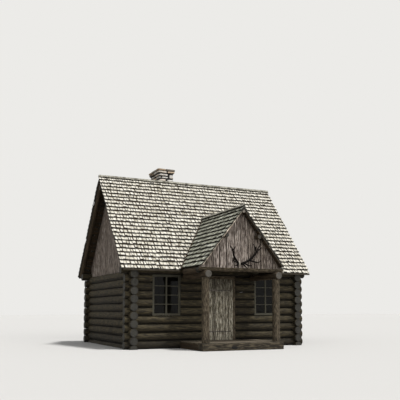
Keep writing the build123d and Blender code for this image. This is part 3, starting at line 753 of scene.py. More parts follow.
class Effects:
    """The effects that several finishes share, each built once."""

    def __init__(self) -> None:
        """Builds the effects."""
        self.grain = self._grain()
        self.weather = self._weather()
        self.wear_and_shade = self._wear_and_shade()
        self.rings = self._rings()

    @staticmethod
    def _grain() -> bpy.types.NodeTree:
        """Builds wood grain that runs along each part: fibres, broad streaks and splits."""
        n = Effect("wood_grain", fineness=90.0, streaks=16.0, along=1.6, splits=0.5, knots=0.5)
        along, fineness = n.given["Along"], n.given["Fineness"]
        parts = n.parts(n.add("UVMap", uv_map="grain")[0])
        tone = n.look("tone")

        def layer(stretch: Any, rate: Any, seed: float, detail: float, rough: float) -> Any:
            """Adds noise drawn out along the grain."""
            spot = n.vector(n.times(parts[0], stretch), n.times(parts[1], rate),
                            n.times(tone, seed))
            return n.noise(spot, 1.0, detail, rough, 0.15)

        fibre = layer(n.times(along, 2.0), fineness, 41.0, 5.0, 0.6)
        streak = layer(along, n.given["Streaks"], 23.0, 3.0, 0.5)
        crack = layer(n.times(along, 0.7), n.times(fineness, 0.45), 67.0, 2.0, 0.4)
        near = n.math("ABSOLUTE", n.minus(crack, 0.5))
        split = n.times(n.span(near, 0.0, 0.022, 1.0, 0.0), n.given["Splits"])
        split = n.times(split, n.span(streak, 0.42, 0.6))
        spot = n.vector(n.times(parts[0], 2.6), n.times(parts[1], 8.0), n.times(tone, 9.0))
        cell = n.add("TexVoronoi", {"Vector": spot, "Scale": 1.0})
        chosen = n.span(n.parts(cell["Color"])[0], 0.45, 0.55)
        ragged = n.plus(cell["Distance"], n.times(fibre, 0.12))
        knot = n.times(n.times(n.span(ragged, 0.14, 0.27, 1.0, 0.0), chosen), n.given["Knots"])
        height = n.minus(n.plus(fibre, n.times(streak, 0.6)), n.times(split, 1.4))
        return n.give(Fibre=fibre, Streak=streak, Split=split, Knot=knot, Height=height)

    @staticmethod
    def _weather() -> bpy.types.NodeTree:
        """Builds patches of lichen or dirt, and damp that rises from the ground."""
        n = Effect("weathering", scale=2.0, cover=0.5, damp_height=0.5)
        spot = n.spot()
        broad = n.noise(spot, n.given["Scale"], 5.0, 0.65, 0.3)
        patch = n.span(n.plus(broad, n.minus(n.given["Cover"], 0.5)), 0.48, 0.62)
        speck = n.span(n.noise(spot, 70.0, 4.0, 0.7), 0.56, 0.68)
        lifted = n.plus(n.parts(spot)[2], n.times(n.minus(broad, 0.5), 0.6))
        damp = n.span(lifted, 0.0, n.given["Damp height"], 1.0, 0.0)
        return n.give(Patch=patch, Speck=speck, Damp=damp)

    @staticmethod
    def _wear_and_shade() -> bpy.types.NodeTree:
        """Builds pale rubbed edges, and the painted shade that the meshes mark in seams, gaps,
        cracks and under laps.
        """
        n = Effect("edge_wear_and_shade", rubbed=0.6, dark=0.8)
        broken = n.noise(n.spot(), 26.0, 4.0, 0.6)
        rubbed = n.times(n.look("edge"), n.span(broken, 0.35, 0.65))
        # Painted shade, broken up a little by noise.
        dark = n.times(n.look("shelter"), n.span(broken, 0.2, 0.5, 0.65, 1.0))
        return n.give(Rubbed=n.times(rubbed, n.given["Rubbed"], True),
                      Dark=n.times(dark, n.given["Dark"], True))

    @staticmethod
    def _rings() -> bpy.types.NodeTree:
        """Builds the growth rings and radial checks of a log's sawn end."""
        n = Effect("end_rings", rings=55.0, radius=0.12)
        tone = n.look("tone")
        parts = n.parts(n.add("UVMap", uv_map="grain")[0])
        spot = n.vector(parts[0], parts[1], n.times(tone, 31.0))
        wander = n.times(n.minus(n.noise(spot, 14.0, 3.0, 0.5), 0.5), 0.03)
        reach = n.math("SQRT", n.plus(n.math("POWER", parts[0], 2.0),
                                      n.math("POWER", parts[1], 2.0)))
        wavy = n.times(n.plus(reach, wander), n.given["Rings"])
        ring = n.plus(n.times(n.math("SINE", n.times(wavy, math.tau)), 0.5), 0.5)
        angle = n.math("ARCTAN2", parts[1], parts[0])
        spoke = n.vector(n.times(n.math("SINE", angle), 5.0),
                         n.times(n.math("COSINE", angle), 5.0), n.times(tone, 17.0))
        near = n.math("ABSOLUTE", n.minus(n.noise(spoke, 1.3, 2.0, 0.5), 0.5))
        rim = n.span(n.math("DIVIDE", reach, n.given["Radius"]), 0.82, 1.0)
        return n.give(Ring=ring, Check=n.span(near, 0.0, 0.016, 1.0, 0.0), Rim=rim)


@dataclass(frozen=True)
class Finish:
    """What every finish has: a name, and a material with colour, roughness and relief."""

    name: str

    def start(self) -> tuple[Material, Nodes, Any]:
        """Starts the material and gives it, its nodes and its main shader's inputs."""
        material = bpy.data.materials.new(self.name)
        material.use_nodes = True
        inputs = material.node_tree.nodes["Principled BSDF"].inputs
        return material, Nodes(material.node_tree), inputs

    @staticmethod
    def join(n: Nodes, shader: Any, colour: Any, roughness: Any, height: Any, depth: float,
             strength: float = 0.6) -> None:
        """Joins colour, roughness and relief to a shader.

        Args:
            n: The material's nodes.
            shader: Its main shader's inputs.
            colour: Its colour output.
            roughness: Its roughness output.
            height: Its relief output.
            depth: How deep the relief is, in metres.
            strength: How strongly the relief shows.
        """
        bump = n.add("Bump", {"Height": height, "Distance": depth, "Strength": strength})[0]
        for socket, value in (("Base Color", colour), ("Roughness", roughness), ("Normal", bump)):
            n.set(shader[socket], value)


@dataclass(frozen=True)
class WoodFinish(Finish):
    """Weathered wood, with its grain along each part."""

    dark: Shade
    middle: Shade
    light: Shade
    streak: Shade
    patch: Shade
    # Dark colour of damp, knots and splits, also laid as painted shade.
    shelter: Shade
    rubbed: Shade
    fineness: float = 90.0
    streaks: float = 16.0
    along: float = 1.6
    splits: float = 0.6
    knots: float = 0.6
    fibre_span: Span = (0.32, 0.68)
    streak_share: float = 0.55
    low_share: float = 0.45
    patch_scale: float = 2.0
    patch_cover: float = 0.35
    patch_share: float = 0.5
    damp_height: float = 0.5
    damp_share: float = 0.5
    # How strongly the painted shade shows.
    painted_shade_share: float = 0.85
    rubbed_share: float = 0.6
    knot_share: float = 0.85
    part_dark: float = 0.62
    part_warm: Colour = (1.0, 0.97, 0.92)
    roughness: float = 0.86
    shine: float = 0.3
    depth: float = 0.003

    def material(self, effects: Effects) -> Material:
        """Makes the material.

        Args:
            effects: The shared effects.

        Returns:
            The new material.
        """
        material, n, shader = self.start()
        grain = n.group(effects.grain, fineness=self.fineness, streaks=self.streaks,
                        along=self.along, splits=self.splits, knots=self.knots)
        weather = n.group(effects.weather, scale=self.patch_scale, cover=self.patch_cover,
                          damp_height=self.damp_height)
        wear_and_shade = n.group(effects.wear_and_shade, rubbed=self.rubbed_share, dark=self.painted_shade_share)
        low, high = self.fibre_span
        colour = n.ramp(grain["Fibre"], (low, linear(self.dark)),
                        ((low + high) / 2, linear(self.middle)), (high, linear(self.light)))
        colour = n.layers(
            colour, (n.span(grain["Streak"], 0.5, 0.62), self.streak_share, self.streak),
            (n.span(grain["Streak"], 0.47, 0.36), self.low_share, self.dark))
        darkest = tuple(self.part_dark * c for c in self.part_warm)
        colour = n.by_part(colour, (0.0, darkest), (0.55, (0.95,) * 3), (1.0, (1.0,) * 3))
        # Patches, damp, knots, splits and rubbed edges are the wood's own marks; the last layer
        # lays painted shade.
        colour = n.layers(
            colour, (weather["Patch"], self.patch_share, self.patch),
            (weather["Damp"], self.damp_share, self.shelter),
            (grain["Knot"], self.knot_share, self.shelter), (grain["Split"], None, self.shelter),
            (wear_and_shade["Rubbed"], None, self.rubbed), (wear_and_shade["Dark"], None, self.shelter))
        rough = n.span(grain["Fibre"], 0.3, 0.7, self.roughness + 0.08, self.roughness - 0.1)
        shader["Specular IOR Level"].default_value = self.shine
        self.join(n, shader, colour, rough, grain["Height"], self.depth)
        return material


@dataclass(frozen=True)
class EndFinish(Finish):
    """The sawn end of a log, with rings and checks."""

    pale: Shade
    ring: Shade
    check: Shade
    bark: Shade
    rings: float = 60.0
    radius: float = 0.12

    def material(self, effects: Effects) -> Material:
        """Makes the material from the shared effects."""
        material, n, shader = self.start()
        rings = n.group(effects.rings, rings=self.rings, radius=self.radius)
        weather = n.group(effects.weather, scale=9.0, cover=0.5, damp_height=0.3)
        colour = n.mix(n.times(rings["Ring"], 0.4), linear(self.pale), linear(self.ring))
        colour = n.layers(colour, (weather["Patch"], 0.6, self.ring))
        colour = n.by_part(colour, (0.0, (0.72,) * 3), (1.0, (1.0,) * 3))
        colour = n.layers(colour, (rings["Check"], None, self.check),
                          (rings["Rim"], 0.8, self.bark))
        height = n.minus(n.times(rings["Ring"], 0.3), n.times(rings["Check"], 1.5))
        self.join(n, shader, colour, n.span(rings["Ring"], 0.0, 1.0, 0.95, 0.8), height, 0.003)
        return material


@dataclass(frozen=True)
class StoneFinish(Finish):
    """Fieldstone of several colours, or its mortar."""

    shades: tuple[Shade, ...]
    stain: Shade
    speck: Shade
    rough_scale: float = 38.0
    depth: float = 0.006

    def material(self, effects: Effects) -> Material:
        """Makes the material from the shared effects."""
        material, n, shader = self.start()
        weather = n.group(effects.weather, scale=7.0, cover=0.42, damp_height=0.2)
        spot = n.spot()
        coarse = n.noise(spot, self.rough_scale, 6.0, 0.65)
        fine = n.noise(spot, self.rough_scale * 4, 4.0, 0.6)
        shift = n.plus(n.look("tone"), n.times(n.minus(coarse, 0.5), 0.25))
        last = max(1, len(self.shades) - 1)
        colour = n.layers(
            n.ramp(shift, *((i / last, linear(shade)) for i, shade in enumerate(self.shades))),
            (n.span(fine, 0.5, 0.75), 0.35, self.speck), (weather["Patch"], 0.55, self.stain),
            (weather["Speck"], 0.3, self.stain))
        self.join(n, shader, colour, n.span(fine, 0.3, 0.7, 0.95, 0.78),
                  n.plus(coarse, n.times(fine, 0.35)), self.depth)
        return material


@dataclass(frozen=True)
class IronFinish(Finish):
    """Forged black iron with a little rust."""

    iron: Shade
    rust: Shade
    rubbed: Shade = (120, 112, 104)

    def material(self, effects: Effects) -> Material:
        """Makes the material from the shared effects."""
        material, n, shader = self.start()
        weather = n.group(effects.weather, scale=14.0, cover=0.4, damp_height=0.2)
        wear_and_shade = n.group(effects.wear_and_shade, rubbed=0.5, dark=0.5)
        colour = n.mix(n.times(weather["Patch"], 0.6), linear(self.iron), linear(self.rust))
        colour = n.layers(colour, (weather["Speck"], 0.5, self.rust),
                          (wear_and_shade["Rubbed"], None, self.rubbed))
        n.set(shader["Metallic"], n.span(weather["Patch"], 0.0, 1.0, 0.75, 0.2))
        self.join(n, shader, colour, n.span(weather["Patch"], 0.0, 1.0, 0.48, 0.85),
                  n.noise(n.spot(), 60.0, 3.0, 0.5), 0.0015)
        return material


@dataclass(frozen=True)
class GlassFinish(Finish):
    """Old window glass, faintly wavy and dusty, coloured near black as painted shade of the dark
    room behind it.
    """

    clear_with_painted_shade: Shade
    dusty: Shade

    def material(self, effects: Effects) -> Material:
        """Makes the material from the shared effects."""
        material, n, shader = self.start()
        weather = n.group(effects.weather, scale=6.0, cover=0.45, damp_height=0.2)
        colour = n.mix(n.times(weather["Patch"], 0.5), linear(self.clear_with_painted_shade), linear(self.dusty))
        for socket, value in (("Transmission Weight", 0.2), ("IOR", 1.22),
                              ("Specular IOR Level", 0.05)):
            shader[socket].default_value = value
        self.join(n, shader, colour, n.span(weather["Patch"], 0.0, 1.0, 0.04, 0.2),
                  n.noise(n.spot(), 5.0, 2.0, 0.4), 0.004, 0.25)
        return material


@dataclass(frozen=True)
class AntlerFinish(Finish):
    """Antler or bone, grooved along its length."""

    deep: Shade
    ridge: Shade
    tip: Shade
    shine: float

    def material(self, effects: Effects) -> Material:
        """Makes the material from the shared effects."""
        material, n, shader = self.start()
        grain = n.group(effects.grain, fineness=260.0, streaks=60.0, along=9.0, splits=0.4,
                        knots=0.0)
        weather = n.group(effects.weather, scale=16.0, cover=0.4, damp_height=0.2)
        colour = n.ramp(grain["Fibre"], (0.35, linear(self.deep)), (0.65, linear(self.ridge)))
        colour = n.layers(colour, (weather["Speck"], 0.35, self.ridge),
                          (n.look("edge"), None, self.tip))
        shader["Specular IOR Level"].default_value = self.shine
        self.join(n, shader, colour, n.span(grain["Fibre"], 0.3, 0.7, 0.7, 0.45),
                  grain["Height"], 0.002)
        return material


class Finishes:
    """Every finish of the cabin, made once."""

    def __init__(self) -> None:
        """Makes the materials."""
        fx = Effects()
        # Dark colour for damp, knots and splits, and for painted shade.
        shade_and_soil = (14, 11, 8)
        self.wall = WoodFinish(
            "wall_log", (20, 16, 10), (51, 45, 30), (78, 69, 49), (95, 85, 62), (44, 43, 29),
            shade_and_soil, (88, 79, 59), fineness=100, streaks=28, along=4.0, splits=1.0,
            part_dark=0.58, patch_share=0.45, damp_height=0.45, damp_share=0.55,
            low_share=0.6).material(fx)
        self.log_end = EndFinish("log_end", (60, 58, 51), (33, 31, 26), (11, 9, 7),
                                 (24, 21, 16), rings=34).material(fx)
        # pale_end also closes the right-hand porch poles, and roof_end, palest, the porch ridge
        # pole: there the paler colour is painted light beside log_end on the left-hand poles.
        self.pale_end = EndFinish("plate_log_end", (104, 99, 91), (70, 66, 59), (28, 24, 20),
                                  (44, 39, 32), radius=0.11).material(fx)
        self.roof_end = EndFinish("roof_pole_end", (190, 181, 168), (132, 124, 113),
                                  (44, 38, 31), (84, 76, 64), radius=0.1).material(fx)
        self.post = WoodFinish(
            "post_log", (26, 20, 13), (68, 59, 45), (102, 91, 74), (130, 118, 98), (56, 51, 38),
            shade_and_soil, (108, 96, 79), fineness=120, streaks=50, along=8.0, splits=1.0,
            part_dark=0.85, streak_share=0.75, low_share=0.7).material(fx)
        self.pole = WoodFinish(
            "roof_pole", (40, 32, 23), (68, 57, 43), (94, 80, 62), (106, 92, 73), (60, 53, 41),
            shade_and_soil, (104, 92, 75), fineness=80, streaks=15, along=2.0,
            part_dark=0.75).material(fx)
        # The near-black sixth colour is mostly painted shadow: under each butt, on the shakes'
        # sides, undersides and ends.
        self.shake = WoodFinish(
            "roof_shake", (114, 106, 84), (234, 227, 210), (248, 242, 228), (254, 249, 237),
            (176, 166, 128), (8, 7, 4), (255, 254, 250), fineness=150, streaks=34, along=4.5,
            splits=1.0, knots=0.0, streak_share=0.8, low_share=0.55, patch_scale=9.0,
            patch_cover=0.4, patch_share=0.4, damp_share=0.0, part_dark=0.56,
            part_warm=(1.0, 0.96, 0.86), roughness=0.9, depth=0.004, painted_shade_share=1.0,
            rubbed_share=0.9).material(fx)
        # A darker, greener copy of the shake finish for the porch slope turned from the light:
        # partly moss, partly painted shade.
        self.mossy_and_shaded_shake = WoodFinish(
            "porch_shake", (82, 82, 66), (180, 179, 160), (220, 220, 203), (240, 240, 224),
            (118, 122, 93), (9, 8, 5), (252, 251, 238), fineness=150, streaks=34, along=4.5,
            splits=1.0, knots=0.0, streak_share=0.7, low_share=0.6, patch_scale=7.0,
            patch_cover=0.45, damp_share=0.0, part_dark=0.44, part_warm=(1.0, 1.0, 0.93),
            roughness=0.9, depth=0.004, painted_shade_share=1.0, rubbed_share=0.85).material(fx)
        self.ridge_shake = WoodFinish(
            "ridge_shake", (92, 88, 76), (146, 142, 128), (190, 187, 174), (210, 207, 195),
            (120, 118, 98), (20, 17, 12), (214, 210, 198), fineness=150, streaks=46, along=3.4,
            splits=0.9, knots=0.0, patch_scale=3.6, damp_share=0.0, part_dark=0.4,
            roughness=0.9, depth=0.004, painted_shade_share=1.0).material(fx)
        self.gable = WoodFinish(
            "gable_board", (30, 22, 17), (106, 94, 86), (172, 158, 147), (224, 212, 200),
            (92, 82, 72), (12, 8, 5), (162, 149, 138), fineness=110, streaks=50, along=4.8,
            splits=1.0, knots=0.9, part_dark=0.7, streak_share=0.8, low_share=0.7,
            patch_share=0.2, damp_share=0.0).material(fx)
        self.door = WoodFinish(
            "door_plank", (20, 16, 9), (90, 82, 64), (158, 149, 128), (236, 228, 207),
            (80, 77, 60), (10, 8, 4), (162, 153, 133), fineness=170, streaks=84, along=5.5,
            splits=1.0, knots=0.8, part_dark=0.42, streak_share=0.95, low_share=0.8,
            patch_share=0.3, damp_height=0.4, damp_share=0.1).material(fx)
        self.trim = WoodFinish(
            "trim_board", (34, 29, 22), (58, 52, 42), (82, 75, 63), (92, 85, 72), (50, 46, 36),
            (18, 15, 11), (112, 103, 88), fineness=120, streaks=24, along=2.4, knots=0.3,
            part_dark=0.84, patch_share=0.3, damp_share=0.0).material(fx)
        # The rake boards are lit and shaded copies: part_dark this low turns the right one, tone
        # 0, near black as painted shade, while the left one, tone 1, stays pale as painted light.
        self.rake = WoodFinish(
            "rake_board", (150, 132, 110), (226, 210, 188), (246, 234, 216), (252, 242, 226),
            (180, 164, 142), (22, 17, 10), (230, 214, 188), fineness=120, streaks=24, along=2.2,
            knots=0.3, part_dark=0.07, patch_share=0.25, damp_share=0.0).material(fx)
        self.sheathing = WoodFinish(
            "roof_sheathing", (32, 24, 15), (56, 44, 29), (78, 63, 44), (86, 71, 51),
            (46, 38, 26), shade_and_soil, (84, 70, 52), fineness=110, streaks=22, part_dark=0.7,
            damp_share=0.0).material(fx)
        self.floor = WoodFinish(
            "floor_plank", (62, 54, 43), (98, 88, 73), (128, 117, 100), (144, 133, 115),
            (78, 72, 59), (20, 16, 12), (148, 137, 119), fineness=110, streaks=24, along=2.4,
            part_dark=0.7, damp_share=0.0).material(fx)
        self.deck = WoodFinish(
            "deck_timber", (16, 12, 7), (47, 41, 30), (77, 68, 54), (116, 105, 86),
            (36, 32, 23), (7, 5, 3), (88, 79, 64), fineness=80, streaks=28, along=4.5,
            splits=1.0, part_dark=0.8, streak_share=0.7, low_share=0.75, damp_height=0.3,
            damp_share=0.35).material(fx)
        self.knot = WoodFinish(
            "dark_knot", (8, 6, 4), (13, 10, 7), (21, 16, 12), (19, 15, 11), (11, 8, 6),
            (6, 4, 3), (26, 20, 15), fineness=200, streaks=60, along=20.0,
            knots=0.0).material(fx)
        self.paint = WoodFinish(
            "window_paint", (38, 36, 27), (62, 60, 49), (84, 81, 67), (90, 87, 72),
            (44, 41, 31), (14, 12, 8), (58, 51, 38), fineness=140, streaks=30, splits=0.5,
            knots=0.0, streak_share=0.3, part_dark=0.88, patch_share=0.4, damp_share=0.0,
            roughness=0.7, depth=0.0015, rubbed_share=0.8).material(fx)
        self.iron = IronFinish("black_iron", (40, 36, 33), (70, 45, 30)).material(fx)
        # Near-black glass: painted shade of the room behind it.
        self.glass = GlassFinish("window_glass", (10, 9, 6), (27, 24, 17)).material(fx)
        self.stone = StoneFinish(
            "fieldstone", ((104, 99, 90), (220, 216, 208), (252, 249, 242), (198, 166, 126),
                           (116, 112, 106), (246, 242, 234)),
            (78, 72, 60), (228, 222, 212)).material(fx)
        self.cap_stone = StoneFinish(
            "cap_stone", ((128, 122, 112), (196, 188, 176), (206, 172, 132), (112, 107, 100)),
            (70, 66, 56), (200, 194, 184)).material(fx)
        self.mortar = StoneFinish("mortar", ((9, 8, 6), (17, 15, 12)), (7, 6, 5), (26, 23, 19),
                                  depth=0.004).material(fx)
        self.antler = AntlerFinish("antler", (6, 4, 3), (14, 10, 7), (30, 22, 16),
                                   0.06).material(fx)
        self.bone = AntlerFinish("skull_bone", (120, 111, 99), (188, 180, 167),
                                 (198, 190, 178), 0.4).material(fx)


@dataclass
class RoofSlope:
    """One roof slope: its eave line, its rise and how its courses lie."""

    eave: Array
    along: Array
    uphill: Array
    outward: Array
    length: float
    rows: int
    low: float
    high: float

    @property
    def exposure(self) -> float:
        """How much of each course shows."""
        return self.length / self.rows

    @property
    def left_handed(self) -> bool:
        """Whether along, uphill and outward turn the other way round."""
        return bool(np.cross(self.along, self.uphill) @ self.outward < 0)

    def at(self, x: float | Array, s: float | Array, lift: float | Array) -> Array:
        """Gives the place x along the eave, s uphill and lift off the shakes' butts."""
        x, s, lift = (a[..., None] for a in np.broadcast_arrays(x, s, lift))
        return self.eave + x * self.along + s * self.uphill + lift * self.outward


Limits = Callable[[Array], Box]


@dataclass
class ShakeLayer:
    """Hand-split shakes laid in courses on a slope."""

    seed: int
    widths: Span = (0.065, 0.15)
    butt: float = 0.046
    thin: float = 0.35
    drop: float = 0.044
    lap: float = 0.3
    ragged: float = 0.048
    torn: float = 0.018
    lift: float = 0.013
    gap: float = 0.028
    skew: float = 0.004
    narrowest: float = 0.012
    ridged: float = 0.0022
    rounded: float = 0.0015
    # Where painted shadow starts below the next butt, and how far it grows, as shares of a course.
    painted_shadow_band: Span = (0.77, 0.12)
    painted_side_shade: float = 0.85
    rises: tuple[float, ...] = (0.0, 0.04, 0.5, 0.7, 1.0)
    columns: tuple[float, ...] = (0.0, 0.08, 0.92, 1.0)

    def lay(self, maker: MeshMaker, slope: RoofSlope, limits: Limits) -> int:
        """Lays every course of a slope.

        Args:
            maker: The piece they belong to.
            slope: The slope they lie on.
            limits: Gives the leftmost and rightmost place at each distance uphill.

        Returns:
            How many shakes were laid.
        """
        rng = np.random.default_rng(self.seed)
        laid = 0
        for row in range(slope.rows):
            x = slope.low - rng.uniform(0, 0.08)
            while x < slope.high:
                width = rng.uniform(*self.widths)
                left = x + self.gap * (0.25 + 1.1 * rng.uniform() ** 2)
                laid += self._shake(maker, slope, limits, rng, (left, x + width),
                                    row * slope.exposure)
                x += width
        return laid

    def _shake(self, maker: MeshMaker, slope: RoofSlope, limits: Limits, rng: Rng, sides: Span,
               start: float) -> bool:
        """Lays one shake, trimmed to the slope, and tells whether any of it was left."""
        first = start + self.ragged * rng.uniform() ** 3
        last = min(start + slope.exposure * (1 + self.lap), slope.length - 0.004)
        s = np.array(self.rises) * (last - first) + first
        edges = limits(s)
        skew = rng.uniform(-self.skew, self.skew) * np.linspace(-1, 1, len(s))
        lefts, rights = (np.clip(side + skew, *edges) for side in sides)
        if (rights - lefts).max() < self.narrowest:
            return False
        top = -self.lift * rng.uniform(0.0, 1.0) - self.drop * (s - start) / slope.exposure
        x = lefts[:, None] + np.array(self.columns) * (rights - lefts)[:, None]
        lifted = top[:, None] + rng.uniform(-self.ridged, 0.0, 4)
        lifted[:, [0, 3]] -= self.rounded
        lifted[0] -= 2 * self.rounded
        torn = rng.uniform(-0.5, 0.5, 4) * self.torn
        sheet_s = np.repeat(s[:, None], 4, 1)
        sheet_s[0] = np.maximum(sheet_s[0] + torn, 0.0)
        sheet_s[1] = np.maximum(sheet_s[1] + torn, sheet_s[0] + 0.004)
        under = top - self.butt * np.linspace(1.0, self.thin, len(s))
        back_s = sheet_s[:, [3, 0]]
        unders = slope.at(np.stack([rights, lefts], 1), back_s, np.stack([under, under], 1))
        rings = np.concatenate([slope.at(x, sheet_s, lifted), unders], 1)
        closed_s = np.concatenate([sheet_s, back_s, sheet_s[:, :1]], 1)
        girth = np.concatenate([x, x[:, 3:] + self.butt, x[:, :1] - self.butt, x[:, :1]], 1)
        grain = pair_up(closed_s, girth, rng)
        edge = np.zeros(rings.shape[:2])
        edge[0, :4] = 0.9
        # Painted shadow: a dark band under the next course's butt, dark narrow sides and
        # undersides, and dark ends.
        painted_shadow_band = (s - start - slope.exposure * self.painted_shadow_band[0]) / (slope.exposure
                                                                    * self.painted_shadow_band[1])
        shelter = np.repeat(np.clip(painted_shadow_band, 0, 1)[:, None], 6, 1)
        shelter[:, [0, 3]] = np.maximum(shelter[:, [0, 3]], self.painted_side_shade)
        shelter[:, 4:] = 1.0
        turned = slice(None, None, -1 if slope.left_handed else 1)
        maker.sweep(rings[:, turned], grain[:, turned], float(rng.uniform() ** 0.5),
                    edge[:, turned], shelter[:, turned], cap_painted_shade=rng.uniform(0.75, 1.0))
        return True


@dataclass(frozen=True)
class RidgeCap:
    """Short shakes bent over a ridge from slope to slope."""

    widths: Span
    reach: Span
    lift: float
    over: float
    gap: float
    inset: float
    thick: float
    ragged: float

    def lay(self, maker: MeshMaker, slopes: Sequence[RoofSlope], run: Span, limit: float,
            rng: Rng) -> None:
        """Lays the shakes of both slopes.

        Args:
            maker: The piece they belong to.
            slopes: The two slopes, of which the first laps over the second.
            run: Where the first shake starts, and where no further one does.
            limit: The place that none passes.
            rng: The source of chance.
        """
        form = BoardForm(step=0.08, corner=0.002, ragged=self.ragged)
        for slope, over in zip(slopes, (self.over, 0.0)):
            x = run[0]
            while x < run[1]:
                width = rng.uniform(*self.widths)
                left = x + self.inset
                right = min(left + width - self.gap, limit)
                middle = (left + right) / 2
                foot = slope.at(middle, slope.length - rng.uniform(*self.reach), self.lift)
                top = slope.at(middle, slope.length + over, self.lift)
                form.add(maker, foot, top, slope.outward, right - left, self.thick, rng)
                x += width


@dataclass
class Part:
    """A sub-assembly of the cabin, with its finishes and its own seed."""

    fin: Finishes
    seed = 0

    def rng(self, more: int = 0) -> Rng:
        """Starts a source of chance."""
        return np.random.default_rng(self.seed + more)


@dataclass
class MainRoof(Part):
    """The two main slopes: frame poles, boards, shakes, ridge and trim."""

    seed = 31
    pitch: float = 50.2
    rows: int = 25
    porch_pitch: float = 51.7
    board_t: float = 0.022
    board_w: float = 0.19
    board_gap: float = 0.004
    shake_t: float = 0.055
    verge_gap: float = 0.002
    verge_w: float = 0.058
    valley_gap: float = 0.012
    board_slack: float = 0.001
    board_in: Span = (0.03, 0.07)
    stack_gap: float = 0.1
    rafter_ends: Span = (0.05, 0.22)
    verge_drop: float = 0.03
    verge_ends: Span = (0.07, 0.1)
    ridge_joint: float = 0.001
    cap_in: Span = (0.004, 0.03)
    rafter_in: float = 0.053
    rafter_radii: Span = (0.065, 0.062)
    ridge_radii: Span = (0.08, 0.078)
    cap: RidgeCap = RidgeCap((0.11, 0.17), (0.06, 0.085), 0.012, 0.014, 0.004, 0.0, 0.018, 0.006)

    def __post_init__(self) -> None:
        """Reads the roof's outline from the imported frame."""
        front, back = corners("roof_shakes_front"), corners("roof_shakes_back")
        self.left, self.right = float(front[0][0]), float(front[1][0])
        self.eaves = {-1: float(front[0][1]), 1: float(back[1][1])}
        self.ridge_y = (self.eaves[-1] + self.eaves[1]) / 2
        self.ridge_top = float(back[1][2])
        self.porch_x, _, self.porch_apex = map(float, corners("porch_shakes_left")[1])
        self.rise = math.radians(self.pitch)
        self.chimney = corners("chimney_stack")

    def slope(self, side: int) -> RoofSlope:
        """Gives the front slope for -1 and the back slope for 1."""
        run = abs(self.eaves[side] - self.ridge_y)
        eave = vec(0, self.eaves[side], self.ridge_top - run * math.tan(self.rise))
        cos, sin = math.cos(self.rise), math.sin(self.rise)
        return RoofSlope(eave, vec(1, 0, 0), vec(0, -side * cos, sin), vec(0, side * sin, cos),
                         run / cos, self.rows, self.left, self.right)

    def porch_half_at(self, z: Array) -> Array:
        """Gives half the porch roof's width at a height."""
        return (self.porch_apex - z) / math.tan(math.radians(self.porch_pitch))

    def build(self) -> None:
        """Builds every piece of the main roof."""
        sides = ((-1, "front"), (1, "back"))
        for side, word in sides:
            self._shakes(side, word)
        maker = MeshMaker()
        first, last = self.cap_in
        self.cap.lay(maker, [self.slope(-1), self.slope(1)],
                     (self.left + first, self.right - last), self.right - first, self.rng(9))
        maker.place("ridge_shakes", (self.fin.ridge_shake,), Slot.SHAKES)
        for side, word in sides:
            self._boards(side, word)
            self._rafters(side, word)
        self._trim()
        rng, maker = self.rng(5), MeshMaker()
        for box in solids("ridge_pole"):
            LogForm(step=0.12).add(maker, *middle_line(box, 0), self.ridge_radii, rng)
        maker.place("ridge_log", (self.fin.pole, self.fin.log_end), Slot.POLES, "ridge_pole")

    def _shakes(self, side: int, word: str) -> None:
        """Lays one slope's shakes, stopping at the porch's valleys or at the chimney."""
        slope, layer, maker = self.slope(side), ShakeLayer(self.seed + side), MeshMaker()
        low, high = self.left + self.verge_gap, self.right - self.verge_gap
        near, far = (slope.length - (end[1] - self.ridge_y) / math.cos(self.rise)
                     for end in self.chimney)

        def stretch(left: float, right: float, beside: bool) -> Limits:
            """Gives a stretch that is laid beside the chimney only, or away from it only."""
            def limits(s: Array) -> Box:
                """Gives the stretch, or nothing."""
                hit = s.max() > far - 0.01 and s.min() < near
                return np.full(s.shape, left), np.full(s.shape, right if hit == beside else left)
            return limits

        def half(s: Array) -> Array:
            """Half the porch roof's width at each distance uphill."""
            z = slope.eave[2] + s * math.sin(self.rise)
            return np.maximum(self.porch_half_at(z) + self.valley_gap, 0.0)

        stretches: list[Limits] = [
            lambda s: (np.full(s.shape, low), np.minimum(self.porch_x - half(s), high)),
            lambda s: (np.maximum(self.porch_x + half(s), low), np.full(s.shape, high))]
        if side > 0:
            stretches = [stretch(low, high, False), stretch(low, self.chimney[0][0], True),
                         stretch(self.chimney[1][0], high, True)]
        count = sum(layer.lay(maker, slope, limits) for limits in stretches)
        LOG.info("shakes_%s holds %d shakes", word, count)
        maker.place(f"shakes_{word}", (self.fin.shake,), Slot.SHAKES, f"roof_shakes_{word}")

    def _boards(self, side: int, word: str) -> None:
        """Lays the boards under the shakes."""
        rng, slope, maker = self.rng(20 + side), self.slope(side), MeshMaker()
        node = f"roof_boards_{word}"
        low, high = corners(node)
        lift = -self.shake_t - self.board_t / 2
        eave = abs(low[1] if side < 0 else high[1])
        start = (abs(self.eaves[side]) - eave) / math.cos(self.rise) + self.board_in[0]
        top = slope.length - self.shake_t / math.tan(self.rise) * 0.2 - self.board_in[1]
        count = int((top - start) / self.board_w)
        width = (top - start) / count
        stack = self.chimney
        for row in range(count):
            s = start + (row + 0.5) * width
            spans = [(low[0], high[0])]
            y, gap = slope.at(0.0, s, lift)[1], self.stack_gap
            if side > 0 and stack[0][1] - gap < y < stack[1][1] + gap:
                spans = [(low[0], stack[0][0]), (stack[1][0], high[0])]
            for left, right in spans:
                BoardForm(step=0.6).add(
                    maker, slope.at(left, s, lift), slope.at(right, s, lift), slope.outward,
                    width - self.board_gap, self.board_t - self.board_slack, rng)
        maker.place(f"{node}_planks", (self.fin.sheathing,), Slot.POLES, node)

